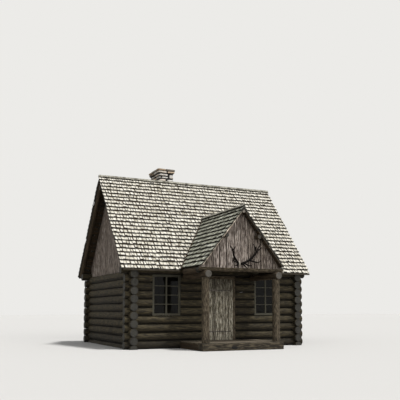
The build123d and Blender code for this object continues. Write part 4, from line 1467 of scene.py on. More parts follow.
    def _rafters(self, side: int, word: str) -> None:
        """Lays the pole rafters of a slope, flat on top under the boards."""
        rng, slope, maker = self.rng(40 + side), self.slope(side), MeshMaker()
        lift = -self.shake_t - self.board_t
        for low, high in solids(f"rafters_{word}"):
            x = (low[0] + high[0]) / 2
            reach = abs((low[1] if side < 0 else high[1]) - self.ridge_y)
            start = slope.length - reach / math.cos(self.rise)
            ends = (slope.at(x, s, lift - self.rafter_in)
                    for s in (start + self.rafter_ends[0], slope.length - self.rafter_ends[1]))
            ceiling = slope.at(x, 0.0, lift)

            def under(places: Array) -> Array:
                """Hews the pole flat under the boards."""
                over = np.maximum((places - ceiling) @ slope.outward, 0.0)
                return places - over[:, None] * slope.outward

            LogForm(sides=16, step=0.16).add(maker, *ends, self.rafter_radii, rng,
                                             up=slope.outward, trim=under)
        maker.place(f"rafter_poles_{word}", (self.fin.pole, self.fin.log_end), Slot.POLES,
                    f"rafters_{word}")

    def _trim(self) -> None:
        """Nails the eave fascias and the verge boards."""
        rng, maker = self.rng(60), MeshMaker()
        form = BoardForm(step=0.4, wave=0.003)
        for low, high in solids("fascia_boards"):
            face = vec(0, -1 if (low[1] + high[1]) / 2 < self.ridge_y else 1, 0)
            form.add(maker, *middle_line((low, high), 0), face, high[2] - low[2],
                     high[1] - low[1], rng)
        maker.place("eave_fascias", (self.fin.trim,), Slot.TRIM, "fascia_boards")
        maker = MeshMaker()
        lift = -self.shake_t - self.verge_drop
        for low, high in solids("verge_boards"):
            x = (low[0] + high[0]) / 2
            side = -1 if (low[1] + high[1]) / 2 < self.ridge_y else 1
            slope = self.slope(side)
            ridge_cut = (vec(x, self.ridge_y + side * self.ridge_joint, 0.0), vec(0, side, 0))
            foot, over = self.verge_ends
            form.add(maker, slope.at(x, slope.length + over, lift), slope.at(x, foot, lift),
                     vec(math.copysign(1, x), 0, 0), self.verge_w, high[0] - low[0], rng,
                     cuts=((ridge_cut,), ()))
        maker.place("verge_trim", (self.fin.trim,), Slot.TRIM, "verge_boards")


@dataclass
class LogWalls(Part):
    """The saddle-notched walls and the plate logs on them."""

    seed = 7
    radius: float = 0.127
    thinnest: float = 0.955
    end_in: float = 0.001
    on_ground: float = 0.001
    sill_rise: float = 0.01

    def build(self) -> None:
        """Builds the walls."""
        self._wall("front_wall_logs", 0, "front_logs_even", "front_logs_odd")
        self._wall("back_wall_logs", 0, "back_logs_even", "back_logs_odd")
        self._wall("side_wall_logs", 1, "side_logs_even", "side_logs_odd", "side_sills")
        self._wall("plate_logs", 0, "wall_plates")

    def _wall(self, name: str, axis: int, *nodes: str) -> None:
        """Lays the logs of one or two walls.

        Args:
            name: The piece's name.
            axis: 0 where the logs run along X and 1 along Y.
            *nodes: The CAD nodes whose solids they follow.
        """
        rng, maker = self.rng(len(name)), MeshMaker()
        for node in nodes:
            for low, high in solids(node):
                start, end = middle_line((low, high), axis)
                start[axis] += self.end_in
                end[axis] -= self.end_in
                if low[2] < self.on_ground and high[2] < self.radius + self.sill_rise:
                    start[2] = end[2] = 0.0
                ends = (self.radius, self.radius * rng.uniform(self.thinnest, 1.0))
                ends = ends if rng.uniform() < 0.5 else ends[::-1]
                trim = self._grounded if start[2] < self.radius else None
                LogForm(painted_seam_shade=0.9).add(maker, start, end, ends, rng, trim=trim)
        maker.place(name, (self.fin.wall, self.fin.log_end), Slot.LOGS, *nodes)

    @staticmethod
    def _grounded(places: Array) -> Array:
        """Flattens what would reach into the ground."""
        return np.column_stack([places[:, :2], np.maximum(places[:, 2], 0.0)])


@dataclass
class Gables(Part):
    """The upright boards that close the two main gables."""

    roof: MainRoof
    seed = 91
    board_w: float = 0.2
    gaps: Span = (0.003, 0.008)
    spare: float = 0.3

    def build(self) -> None:
        """Builds both gables."""
        lift = -self.roof.shake_t - self.roof.board_t
        cuts = [(s.at(0.0, 0.0, lift), s.outward) for s in map(self.roof.slope, (-1, 1))]
        for word, face in (("left", -1), ("right", 1)):
            low, high = corners(f"gable_boards_{word}")
            rng, maker = self.rng(face), MeshMaker()
            x = (low[0] + high[0]) / 2
            count = round((high[1] - low[1]) / self.board_w)
            edges = low[1] + (high[1] - low[1]) * np.arange(count + 1) / count
            for y0, y1 in zip(edges, edges[1:]):
                y = (y0 + y1) / 2
                BoardForm().add(
                    maker, vec(x, y, low[2]), vec(x, y, high[2] + self.spare), vec(face, 0, 0),
                    y1 - y0 - rng.uniform(*self.gaps), high[0] - low[0], rng, cuts=((), cuts))
            maker.place(f"gable_cladding_{word}", (self.fin.gable,), Slot.BOARDS,
                        f"gable_boards_{word}")


@dataclass
class Porch(Part):
    """The porch: posts, plates, tie log, gable and its own small roof."""

    roof: MainRoof
    seed = 131
    rows: int = 13
    board_rows: int = 11
    eave_half: float = 1.44
    post_radii: Span = (0.12, 0.113)
    beam_radii: Span = (0.11, 0.108)
    rake_w: float = 0.038
    gable_widths: Span = (0.17, 0.27)
    gable_gaps: Span = (0.014, 0.028)
    gable_last: float = 0.3
    gable_spare: float = 0.4
    gable_gap: float = 0.002
    gable_set: float = 0.004
    board_ends: Span = (0.04, 0.05)
    board_back: float = 0.02
    cap_in: float = 0.003
    log_in: float = 0.001
    log_gap: float = 0.003
    post_tones: Span = (0.5, 1.0)
    pole_ends: Span = (0.002, 0.1)
    pole_gap: float = 0.002
    ridge_reach: float = 0.05
    rake_drop: float = 0.02
    rake_ends: Span = (0.05, 0.1)
    cap: RidgeCap = RidgeCap((0.1, 0.15), (0.05, 0.07), 0.01, 0.012, 0.005, 0.0025, 0.015, 0.005)

    def __post_init__(self) -> None:
        """Reads the porch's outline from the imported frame."""
        self.rise = math.radians(self.roof.porch_pitch)
        self.x, self.apex = self.roof.porch_x, self.roof.porch_apex
        self.front = float(corners("porch_shakes_left")[0][1])
        self.under = -self.roof.shake_t - self.roof.board_t

    def slope(self, side: int) -> RoofSlope:
        """Gives the left slope for -1 and the right slope for 1."""
        cos, sin = math.cos(self.rise), math.sin(self.rise)
        eave = vec(self.x + side * self.eave_half, 0,
                   self.apex - self.eave_half * math.tan(self.rise))
        return RoofSlope(eave, vec(0, 1, 0), vec(-side * cos, 0, sin), vec(side * sin, 0, cos),
                         self.eave_half / cos, self.rows, self.front, self.roof.ridge_y)

    def build(self) -> None:
        """Builds every piece of the porch."""
        for side, word in ((-1, "left"), (1, "right")):
            self._shakes(side, word)
            self._boards(side, word)
        maker = MeshMaker()
        self.cap.lay(maker, [self.slope(-1), self.slope(1)],
                     (self.front + self.cap_in, float(self._valley(self.apex))), math.inf,
                     self.rng(3))
        maker.place("porch_ridge_shakes", (self.fin.ridge_shake,), Slot.SHAKES)
        self._logs()
        self._gable()
        self._verge()

    def _valley(self, z: float | Array, lift: float = 0.0) -> float | Array:
        """Gives how far back the porch roof runs at a height."""
        roof = self.roof
        drop = roof.ridge_top - lift / math.cos(roof.rise) - z
        return roof.ridge_y - drop / math.tan(roof.rise)

    def _shakes(self, side: int, word: str) -> None:
        """Lays one porch slope's shakes back to the valley."""
        slope, maker = self.slope(side), MeshMaker()

        def limits(s: Array) -> Box:
            """From the porch's front to the valley."""
            z = slope.eave[2] + s * math.sin(self.rise)
            return np.full(s.shape, self.front), self._valley(z) - self.roof.valley_gap

        ShakeLayer(self.seed + side).lay(maker, slope, limits)
        # The left slope, turned from the light, takes the darker copy: partly moss, partly painted
        # shade.
        finish = self.fin.mossy_and_shaded_shake if side < 0 else self.fin.shake
        maker.place(f"porch_shakes_{word}_laid", (finish,), Slot.SHAKES, f"porch_shakes_{word}")

    def _boards(self, side: int, word: str) -> None:
        """Lays the boards under the porch shakes."""
        rng, slope, maker = self.rng(20 + side), self.slope(side), MeshMaker()
        node = f"porch_boards_{word}"
        low = corners(node)[0]
        lift = -self.roof.shake_t - self.roof.board_t / 2
        foot, top = self.board_ends
        width = (slope.length - top - foot) / self.board_rows
        for row in range(self.board_rows):
            s = foot + (row + 0.5) * width
            back = self._valley(slope.at(0.0, s, lift)[2], self.roof.shake_t) - self.board_back
            BoardForm(step=0.6).add(
                maker, slope.at(low[1], s, lift), slope.at(back, s, lift), slope.outward,
                width - self.roof.board_gap, self.roof.board_t - self.roof.board_slack, rng)
        maker.place(f"{node}_planks", (self.fin.sheathing,), Slot.POLES, node)

    def _logs(self) -> None:
        """Raises the posts, plates, tie log and roof poles."""
        fin, rng, maker = self.fin, self.rng(30), MeshMaker()
        for box in solids("porch_posts"):
            LogForm(sides=26, step=0.07, swell=0.03, checks=4, check_depth=0.012, knots=3).add(
                maker, *middle_line(box, 2), self.post_radii, rng, up=-FRONT,
                tone=float(rng.uniform(*self.post_tones)))
        maker.place("porch_post_logs", (fin.post, fin.log_end), Slot.LOGS, "porch_posts")
        maker = MeshMaker()
        for low, high in solids("porch_plates"):
            x, z = (low[0] + high[0]) / 2, high[2] - self.beam_radii[0]
            LogForm(sides=26, swell=0.012).add(
                maker, vec(x, low[1] + self.log_in, z), vec(x, high[1], z), self.beam_radii, rng)
        maker.place("porch_plate_logs", (fin.pole, fin.pale_end), Slot.LOGS, "porch_plates")
        low, high = corners("tie_beam")

        def hewn(places: Array) -> Array:
            """Hews the tie log flat on top and cuts its ends under the roof."""
            z = np.minimum(places[:, 2], high[2])
            reach = self.roof.porch_half_at(z - self.under / math.cos(self.rise)) - self.log_gap
            x = np.clip(places[:, 0], np.maximum(low[0], self.x - reach),
                        np.minimum(high[0], self.x + reach))
            return np.column_stack([x, places[:, 1], z])

        maker, y = MeshMaker(), (low[1] + high[1]) / 2
        LogForm(sides=26, checks=3).add(maker, vec(low[0], y, high[2]), vec(high[0], y, high[2]),
                                        self.beam_radii, rng, trim=hewn)
        maker.place("tie_log", (fin.post, fin.log_end), Slot.LOGS, "tie_beam")
        maker, (front, back) = MeshMaker(), self.pole_ends
        for low, high in solids("porch_poles"):
            x, z = (low[0] + high[0]) / 2, (low[2] + high[2]) / 2
            # Paler ends on the ridge pole and the right-hand poles are painted light; the
            # left-hand ones keep the plain, darker log end.
            ends = 1 if self._on_ridge(x) else 2 if x > self.x else 3
            radius = (high[0] - low[0]) / 2 - (self.pole_gap if ends > 1 else 0.0)
            LogForm(sides=18, step=0.12).add(
                maker, vec(x, low[1] + front, z), vec(x, high[1] - back, z), (radius, radius),
                rng, finishes=(0, ends))
        maker.place("porch_roof_poles", (fin.pole, fin.roof_end, fin.pale_end, fin.log_end),
                    Slot.POLES, "porch_poles")

    def _on_ridge(self, x: float) -> bool:
        """Tells whether a pole at x lies under the ridge."""
        return abs(x - self.x) < self.ridge_reach

    def _gable(self) -> None:
        """Nails the upright boards of the porch gable."""
        rng, maker = self.rng(50), MeshMaker()
        low, high = corners("porch_gable_boards")
        lift = self.under - self.gable_gap
        cuts = [(s.at(0.0, 0.0, lift), s.outward) for s in map(self.slope, (-1, 1))]
        edges = [low[0]]
        while edges[-1] < high[0] - self.gable_last:
            edges.append(edges[-1] + rng.uniform(*self.gable_widths))
        edges.append(high[0])
        y = (low[1] + high[1]) / 2
        for x0, x1 in zip(edges, edges[1:]):
            x = (x0 + x1) / 2
            BoardForm(step=0.15, cup=0.002, wave=0.004).add(
                maker, vec(x, y + rng.uniform(0, self.gable_set), low[2]),
                vec(x, y, high[2] + self.gable_spare), FRONT,
                x1 - x0 - rng.uniform(*self.gable_gaps), high[1] - low[1], rng, cuts=((), cuts))
        maker.place("porch_gable_cladding", (self.fin.gable,), Slot.BOARDS, "porch_gable_boards")

    def _verge(self) -> None:
        """Nails the two rake boards on the porch's front."""
        rng, maker = self.rng(70), MeshMaker()
        low, high = corners("porch_verge_boards")
        y, lift = (low[1] + high[1]) / 2, -self.roof.shake_t - self.rake_drop
        pole = next(high[0] - low[0] for low, high in solids("porch_poles")
                    if self._on_ridge((low[0] + high[0]) / 2))
        foot, over = self.rake_ends
        # Tone 1 keeps the left rake pale as painted light; tone 0 turns the right one near black
        # as painted shade.
        for side, tone in ((-1, 1.0), (1, 0.0)):
            slope = self.slope(side)
            cut = (vec(self.x + side * pole * 0.5, y, 0.0), vec(side, 0, 0))
            BoardForm(step=0.3).add(
                maker, slope.at(y, slope.length + over, lift), slope.at(y, foot, lift), FRONT,
                self.rake_w, high[1] - low[1], rng, tone=tone, cuts=((cut,), ()))
        maker.place("porch_rake_boards", (self.fin.rake,), Slot.TRIM, "porch_verge_boards")


@dataclass
class Floors(Part):
    """The room's floor on its sleepers, and the porch deck behind its front timber."""

    seed = 171
    board_w: float = 0.19
    knot_at: Span = (-0.34, 0.08)
    knot_size: Place = (0.27, 0.02, 0.12)
    knot_in: float = 0.013
    gaps: Span = (0.003, 0.006)

    def build(self) -> None:
        """Builds the floors."""
        rng, maker = self.rng(), MeshMaker()
        for low, high in solids("floor_joists"):
            BoardForm(step=0.5, corner=0.006, painted_side_shade=0.3).add(
                maker, *middle_line((low, high), 1), UP, high[0] - low[0], high[2] - low[2], rng)
        maker.place("floor_sleepers", (self.fin.sheathing,), Slot.POLES, "floor_joists")
        self._boards("room_floor", "floor_boards", rng, corners("chimney_stack"))
        self._boards("deck_planks", "deck_boards", rng, None)
        maker, (low, high) = MeshMaker(), corners("deck_timber")
        BoardForm(step=0.06, corner=0.014, wave=0.006, cup=0.004, painted_side_shade=0.0).add(
            maker, *middle_line((low, high), 0), FRONT, high[2] - low[2], high[1] - low[1], rng)
        maker.place("deck_front_timber", (self.fin.deck,), Slot.FLOOR, "deck_timber")
        knot, (x, z) = MeshMaker(), self.knot_at
        StoneForm(around=18, rows=9, square=0.8, rough=0.04).add(
            knot, vec(x, low[1] + self.knot_in, z), vec(*self.knot_size), rng)
        knot.place("deck_timber_knot", (self.fin.knot,), Slot.FLOOR)

    def _boards(self, name: str, node: str, rng: Rng, gap: Box | None) -> None:
        """Lays boards from left to right, cut round the chimney where there is one.

        Args:
            name: The piece's name.
            node: The CAD node that they stand for.
            rng: The source of chance.
            gap: The chimney's box, or None.
        """
        low, high = corners(node)
        z = (low[2] + high[2]) / 2
        count = round((high[1] - low[1]) / self.board_w)
        width = (high[1] - low[1]) / count
        maker = MeshMaker()
        for row in range(count):
            y = low[1] + (row + 0.5) * width
            spans = [(low[0], high[0])]
            if gap is not None and gap[0][1] - width / 2 < y < gap[1][1] + width / 2:
                spans = [(low[0], gap[0][0]), (gap[1][0], high[0])]
            for left, right in spans:
                BoardForm(step=0.5).add(
                    maker, vec(left, y, z), vec(right, y, z), UP,
                    width - rng.uniform(*self.gaps), high[2] - low[2], rng)
        maker.place(name, (self.fin.floor,), Slot.FLOOR, node)


@dataclass
class Door(Part):
    """The plank door in its frame, with strap hinges and a pull."""

    seed = 211
    planks: tuple[Span, ...] = ((0.18, 0.8), (0.092, 0.05), (0.14, 0.85), (0.128, 0.95),
                                (0.09, 0.75), (0.11, 0.6), (0.168, 0.9))
    plank_gap: float = 0.012
    jamb: float = 0.073
    head: float = 0.1
    depth: float = 0.21
    threshold_t: float = 0.03
    stop: Span = (0.015, 0.04)
    stop_back: float = 0.0545
    # Painted shade of the porch roof on the door: from this height, over this rise, up to this
    # strength.
    shade_from: float = 1.45
    shade_over: float = 0.4
    top_shade: float = 0.55
    pin_d: float = 0.014
    barrel_d: float = 0.022
    clearance: float = 0.0003
    strap_t: float = 0.005
    strap_round: float = 0.0012
    strap_widths: tuple[float, ...] = (0.96, 0.94, 0.66, 0.9, 0.6, 0.12)
    strap_from: Span = (0.012, 0.05)
    strap_to: tuple[float, ...] = (0.09, 0.045, 0.02, 0.004)
    eye_round: float = 0.001
    nails: int = 6
    nail_run: Span = (0.09, 0.045)
    nail_size: Place = (0.014, 0.006, 0.014)
    nail_out: float = 0.0062
    nail_stray: float = 0.002
    pin_rounds: Span = (0.001, 0.0015)
    pull_r: float = 0.007
    knot_at: Place = (0.073, 0.0035, 0.95)
    knot_size: Place = (0.036, 0.006, 0.06)

    def build(self) -> None:
        """Builds the door."""
        rng = self.rng()
        self._surround(rng)
        self._leaf(rng)
        self._straps(rng)
        self._pintles()
        self._pull()

    def _surround(self, rng: Rng) -> None:
        """Sets the threshold, jambs, head and stops."""
        low, high = corners("door_frame")
        floor, under = low[2] + self.threshold_t, high[2] - self.head
        y, half, maker = (low[1] + high[1]) / 2, self.stop[0] / 2, MeshMaker()
        back = y - self.stop_back
        bars = []
        for x, sign in ((low[0] + self.jamb / 2, 1), (high[0] - self.jamb / 2, -1)):
            stop_x = x + sign * (self.jamb / 2 + half)
            bars += [((x, y, floor), (x, y, under), FRONT, self.jamb, self.depth, 0.8),
                     ((stop_x, back, floor), (stop_x, back, under), FRONT, *self.stop, 0.6)]
        z, sill = high[2] - self.head / 2, floor - self.threshold_t / 2
        bars += [((low[0], y, z), (high[0], y, z), FRONT, self.head, self.depth, 0.7),
                 ((low[0] + self.jamb, back, under - half),
                  (high[0] - self.jamb, back, under - half), FRONT, *self.stop, 0.6),
                 ((low[0], y, sill), (high[0], y, sill), UP, high[1] - low[1],
                  self.threshold_t, 0.9)]
        for start, end, face, width, thick, tone in bars:
            BoardForm(step=0.2, corner=0.004, painted_side_shade=0.2).add(
                maker, vec(*start), vec(*end), face, width, thick, rng, tone)
        maker.place("door_surround", (self.fin.post,), Slot.DOOR, "door_frame")

    def _leaf(self, rng: Rng) -> None:
        """Joins the planks and their two ledges."""
        leaf = low, high = corners("door_leaf")
        y, x, maker = (low[1] + high[1]) / 2, low[0], MeshMaker()
        total = sum(share for share, _ in self.planks)
        for share, tone in self.planks:
            width = share / total * (high[0] - low[0])
            x += width
            BoardForm(step=0.12, corner=0.005, cup=0.0015, wave=0.0015).add(
                maker, vec(x - width / 2, y, low[2]), vec(x - width / 2, y, high[2]), FRONT,
                width - self.plank_gap, high[1] - low[1], rng, tone)
        # The planks darken towards the top, painted shade standing in for the porch roof's shadow.
        shelter = maker.looks["shelter"]
        for row, (spots, dark) in enumerate(zip(maker.points, list(shelter))):
            porch_shade = np.clip((spots[:, 2] - self.shade_from) / self.shade_over, 0, 1)
            shelter[row] = np.maximum(dark, porch_shade * self.top_shade)
        maker.place("door_planks", (self.fin.door,), Slot.DOOR, "door_leaf", body=Body.DOOR)
        maker = MeshMaker()
        for low, high in solids("door_ledges"):
            BoardForm(step=0.15).add(maker, *middle_line((low, high), 0), -FRONT,
                                     high[2] - low[2], high[1] - low[1], rng)
        maker.place("door_ledge_boards", (self.fin.door,), Slot.DOOR, "door_ledges",
                    body=Body.DOOR)
        knot, (x, y, z) = MeshMaker(), self.knot_at
        StoneForm(around=14, square=0.9, rough=0.03).add(
            knot, vec(x, leaf[0][1] + y, z), vec(*self.knot_size), rng)
        knot.place("door_knot", (self.fin.knot,), Slot.DOOR, body=Body.DOOR)

    def _straps(self, rng: Rng) -> None:
        """Forges the strap hinges with their eyes and nails."""
        maker = MeshMaker()
        face = corners("door_leaf")[0][1]
        out, t, c = self.barrel_d / 2, self.strap_t, self.strap_round
        e, stray, (first, last) = self.eye_round, self.nail_stray, self.nail_run
        turn = np.linspace(0, math.tau, 24, endpoint=False)
        for low, high in solids("door_straps"):
            z, tall = (low[2] + high[2]) / 2, high[2] - low[2]
            pin_x, pin_y = low[0] + out, low[1] + out
            stations = np.array([*(pin_x + s for s in self.strap_from),
                                 *(high[0] - s for s in self.strap_to)])
            rings = np.array([
                [(x, face, z - half), (x, face - t + c, z - half), (x, face - t, z - half + c),
                 (x, face - t, z + half - c), (x, face - t + c, z + half), (x, face, z + half)]
                for x, half in zip(stations, tall * np.array(self.strap_widths) / 2)])
            across = np.linspace(0, 0.09, 7)[None]
            grain = np.stack(np.broadcast_arrays(stations[:, None], across), -1)
            maker.sweep(rings[:, ::-1], grain, 0.5, np.array([0, 0.6, 1, 1, 0.6, 0.0]))
            hole, top = self.pin_d / 2 + self.clearance, tall / 2
            outline = [(hole, -top), (out - e, -top), (out, -top + e), (out, top - e),
                       (out - e, top), (hole, top), (hole, -top)]
            eye = np.array([[(pin_x + r * math.cos(a), pin_y + r * math.sin(a), z + h)
                             for a in turn] for r, h in outline])
            grain = np.stack(np.broadcast_arrays(np.append(turn, math.tau)[None] * 0.01,
                                                 np.arange(7)[:, None] * 0.01), -1)
            maker.grid(eye, grain, wrap=True)
            for x in np.linspace(pin_x + first, high[0] - last, self.nails):
                StoneForm(around=10, rows=5, square=0.95, rough=0.01).add(
                    maker, vec(x, face - self.nail_out, z + rng.uniform(-stray, stray)),
                    vec(*self.nail_size), rng)
        maker.place("strap_hinges", (self.fin.iron,), Slot.IRON, "door_straps", body=Body.DOOR)

    def _pintles(self) -> None:
        """Forges the pins on their plates."""
        maker, out, (first, last) = MeshMaker(), self.barrel_d / 2, self.pin_rounds
        for low, high in solids("door_pintles"):
            x, y, foot = high[0] - out, low[1] + out, (low[2] + high[2]) / 2
            for start, end, radius in ((low[2], foot, out), (foot, high[2], self.pin_d / 2)):
                path = np.array([(x, y, z) for z in (start, start + first, end - last, end)])
                tube(maker, path, radius - first * np.array([1, 0, 0, 1]), 20)
            y, z = high[1] - self.strap_t / 2, (low[2] + foot) / 2
            BoardForm(step=0.03, corner=0.0012, painted_side_shade=0.0, cup=0.0003, wave=0.0004).add(
                maker, vec(low[0], y, z), vec(x, y, z), FRONT, foot - low[2], self.strap_t,
                np.random.default_rng(3), 0.5)
        maker.place("hinge_pins", (self.fin.iron,), Slot.IRON, "door_pintles")

    def _pull(self) -> None:
        """Forges the bowed pull."""
        low, high = corners("door_pull")
        x, front, back = (low[0] + high[0]) / 2, low[1] + self.pull_r, high[1]
        rows = ((back, 0.007, 0.0095), (back - 0.012, 0.0075, 0.0062),
                (front + 0.012, 0.012, 0.0058), (front + 0.001, 0.045, 0.0062))
        knots = [(x, y, low[2] + up, radius) for y, up, radius in rows]
        knots.append((x, front, (low[2] + high[2]) / 2, self.pull_r))
        knots += [(x, y, high[2] - up, radius) for y, up, radius in rows[::-1]]
        line, maker = smooth_path(np.array(knots), 6), MeshMaker()
        tube(maker, line[:, :3], line[:, 3], 14, 0.4)
        maker.place("door_pull_bar", (self.fin.iron,), Slot.IRON, "door_pull", body=Body.DOOR)


@dataclass
class Windows(Part):
    """The two windows of eight panes."""

    seed = 251
    frame_w: float = 0.042
    sash_w: float = 0.026
    sash_t: float = 0.036
    sash_gap: float = 0.0008
    bar_w: float = 0.022
    bar_share: float = 0.75
    glass_t: float = 0.004
    casements: int = 2
    pane_rows: int = 4

    def build(self) -> None:
        """Builds the frames, sashes and panes."""
        rng = self.rng()
        frames, sashes, glass = MeshMaker(), MeshMaker(), MeshMaker()
        for frame_box, glass_box in zip(solids("window_frames"), solids("window_glass")):
            self._frame(frames, *frame_box, rng)
            self._sash(sashes, *glass_box, rng)
            self._panes(glass, *glass_box, rng)
        frames.place("window_surrounds", (self.fin.paint,), Slot.PAINT, "window_frames")
        sashes.place("window_sashes", (self.fin.paint,), Slot.PAINT)
        glass.place("window_panes", (self.fin.glass,), Slot.GLASS, "window_glass")

    def _frame(self, maker: MeshMaker, low: Array, high: Array, rng: Rng) -> None:
        """Sets the jambs, head and sill of one window."""
        y, depth, w = (low[1] + high[1]) / 2, high[1] - low[1], self.frame_w
        form = BoardForm(step=0.2, corner=0.004, painted_side_shade=0.15)
        for x in (low[0] + w / 2, high[0] - w / 2):
            form.add(maker, vec(x, y, low[2] + w), vec(x, y, high[2] - w), FRONT, w, depth, rng)
        for z in (low[2] + w / 2, high[2] - w / 2):
            form.add(maker, vec(low[0], y, z), vec(high[0], y, z), FRONT, w, depth, rng)

    def _lights(self, low: Array, high: Array) -> list[tuple[float, float, float, float]]:
        """Gives the left, right, bottom and top of each pane between the stiles and bars."""
        bottom, top = low[2] + self.sash_w, high[2] - self.sash_w
        wide = (high[0] - low[0]) / self.casements
        tall = (top - bottom) / self.pane_rows
        return [(low[0] + wide * column + self.sash_w, low[0] + wide * (column + 1) - self.sash_w,
                 bottom + tall * row, bottom + tall * (row + 1))
                for column in range(self.casements) for row in range(self.pane_rows)]

    def _sash(self, maker: MeshMaker, low: Array, high: Array, rng: Rng) -> None:
        """Joins the stiles, rails and bars of a pair of casements round the glass."""
        form = BoardForm(step=0.15, painted_side_shade=0.1, cup=0.0004, wave=0.0006)
        y, w, depth = (low[1] + high[1]) / 2, self.sash_w, self.sash_t
        wide = (high[0] - low[0]) / self.casements
        for column in range(self.casements):
            left = low[0] + wide * column + self.sash_gap
            right = low[0] + wide * (column + 1) - self.sash_gap
            for x in (left + w / 2, right - w / 2):
                form.add(maker, vec(x, y, low[2]), vec(x, y, high[2]), FRONT, w, depth, rng)
            for z in (low[2] + w / 2, high[2] - w / 2):
                form.add(maker, vec(left + w, y, z), vec(right - w, y, z), FRONT, w, depth, rng)
        for left, right, bottom, _ in self._lights(low, high):
            if bottom > low[2] + 2 * w:
                form.add(maker, vec(left, y, bottom), vec(right, y, bottom), FRONT, self.bar_w,
                         depth * self.bar_share, rng)

    def _panes(self, maker: MeshMaker, low: Array, high: Array, rng: Rng) -> None:
        """Sets a sheet of wavy glass in each light."""
        y = (low[1] + high[1]) / 2
        for left, right, bottom, top in self._lights(low, high):
            x = (left + right) / 2
            BoardForm(step=0.05, corner=0.0008, painted_side_shade=0.0, cup=0.0004, wave=0.0).add(
                maker, vec(x, y, bottom), vec(x, y, top), FRONT, right - left, self.glass_t,
                rng, 0.5)


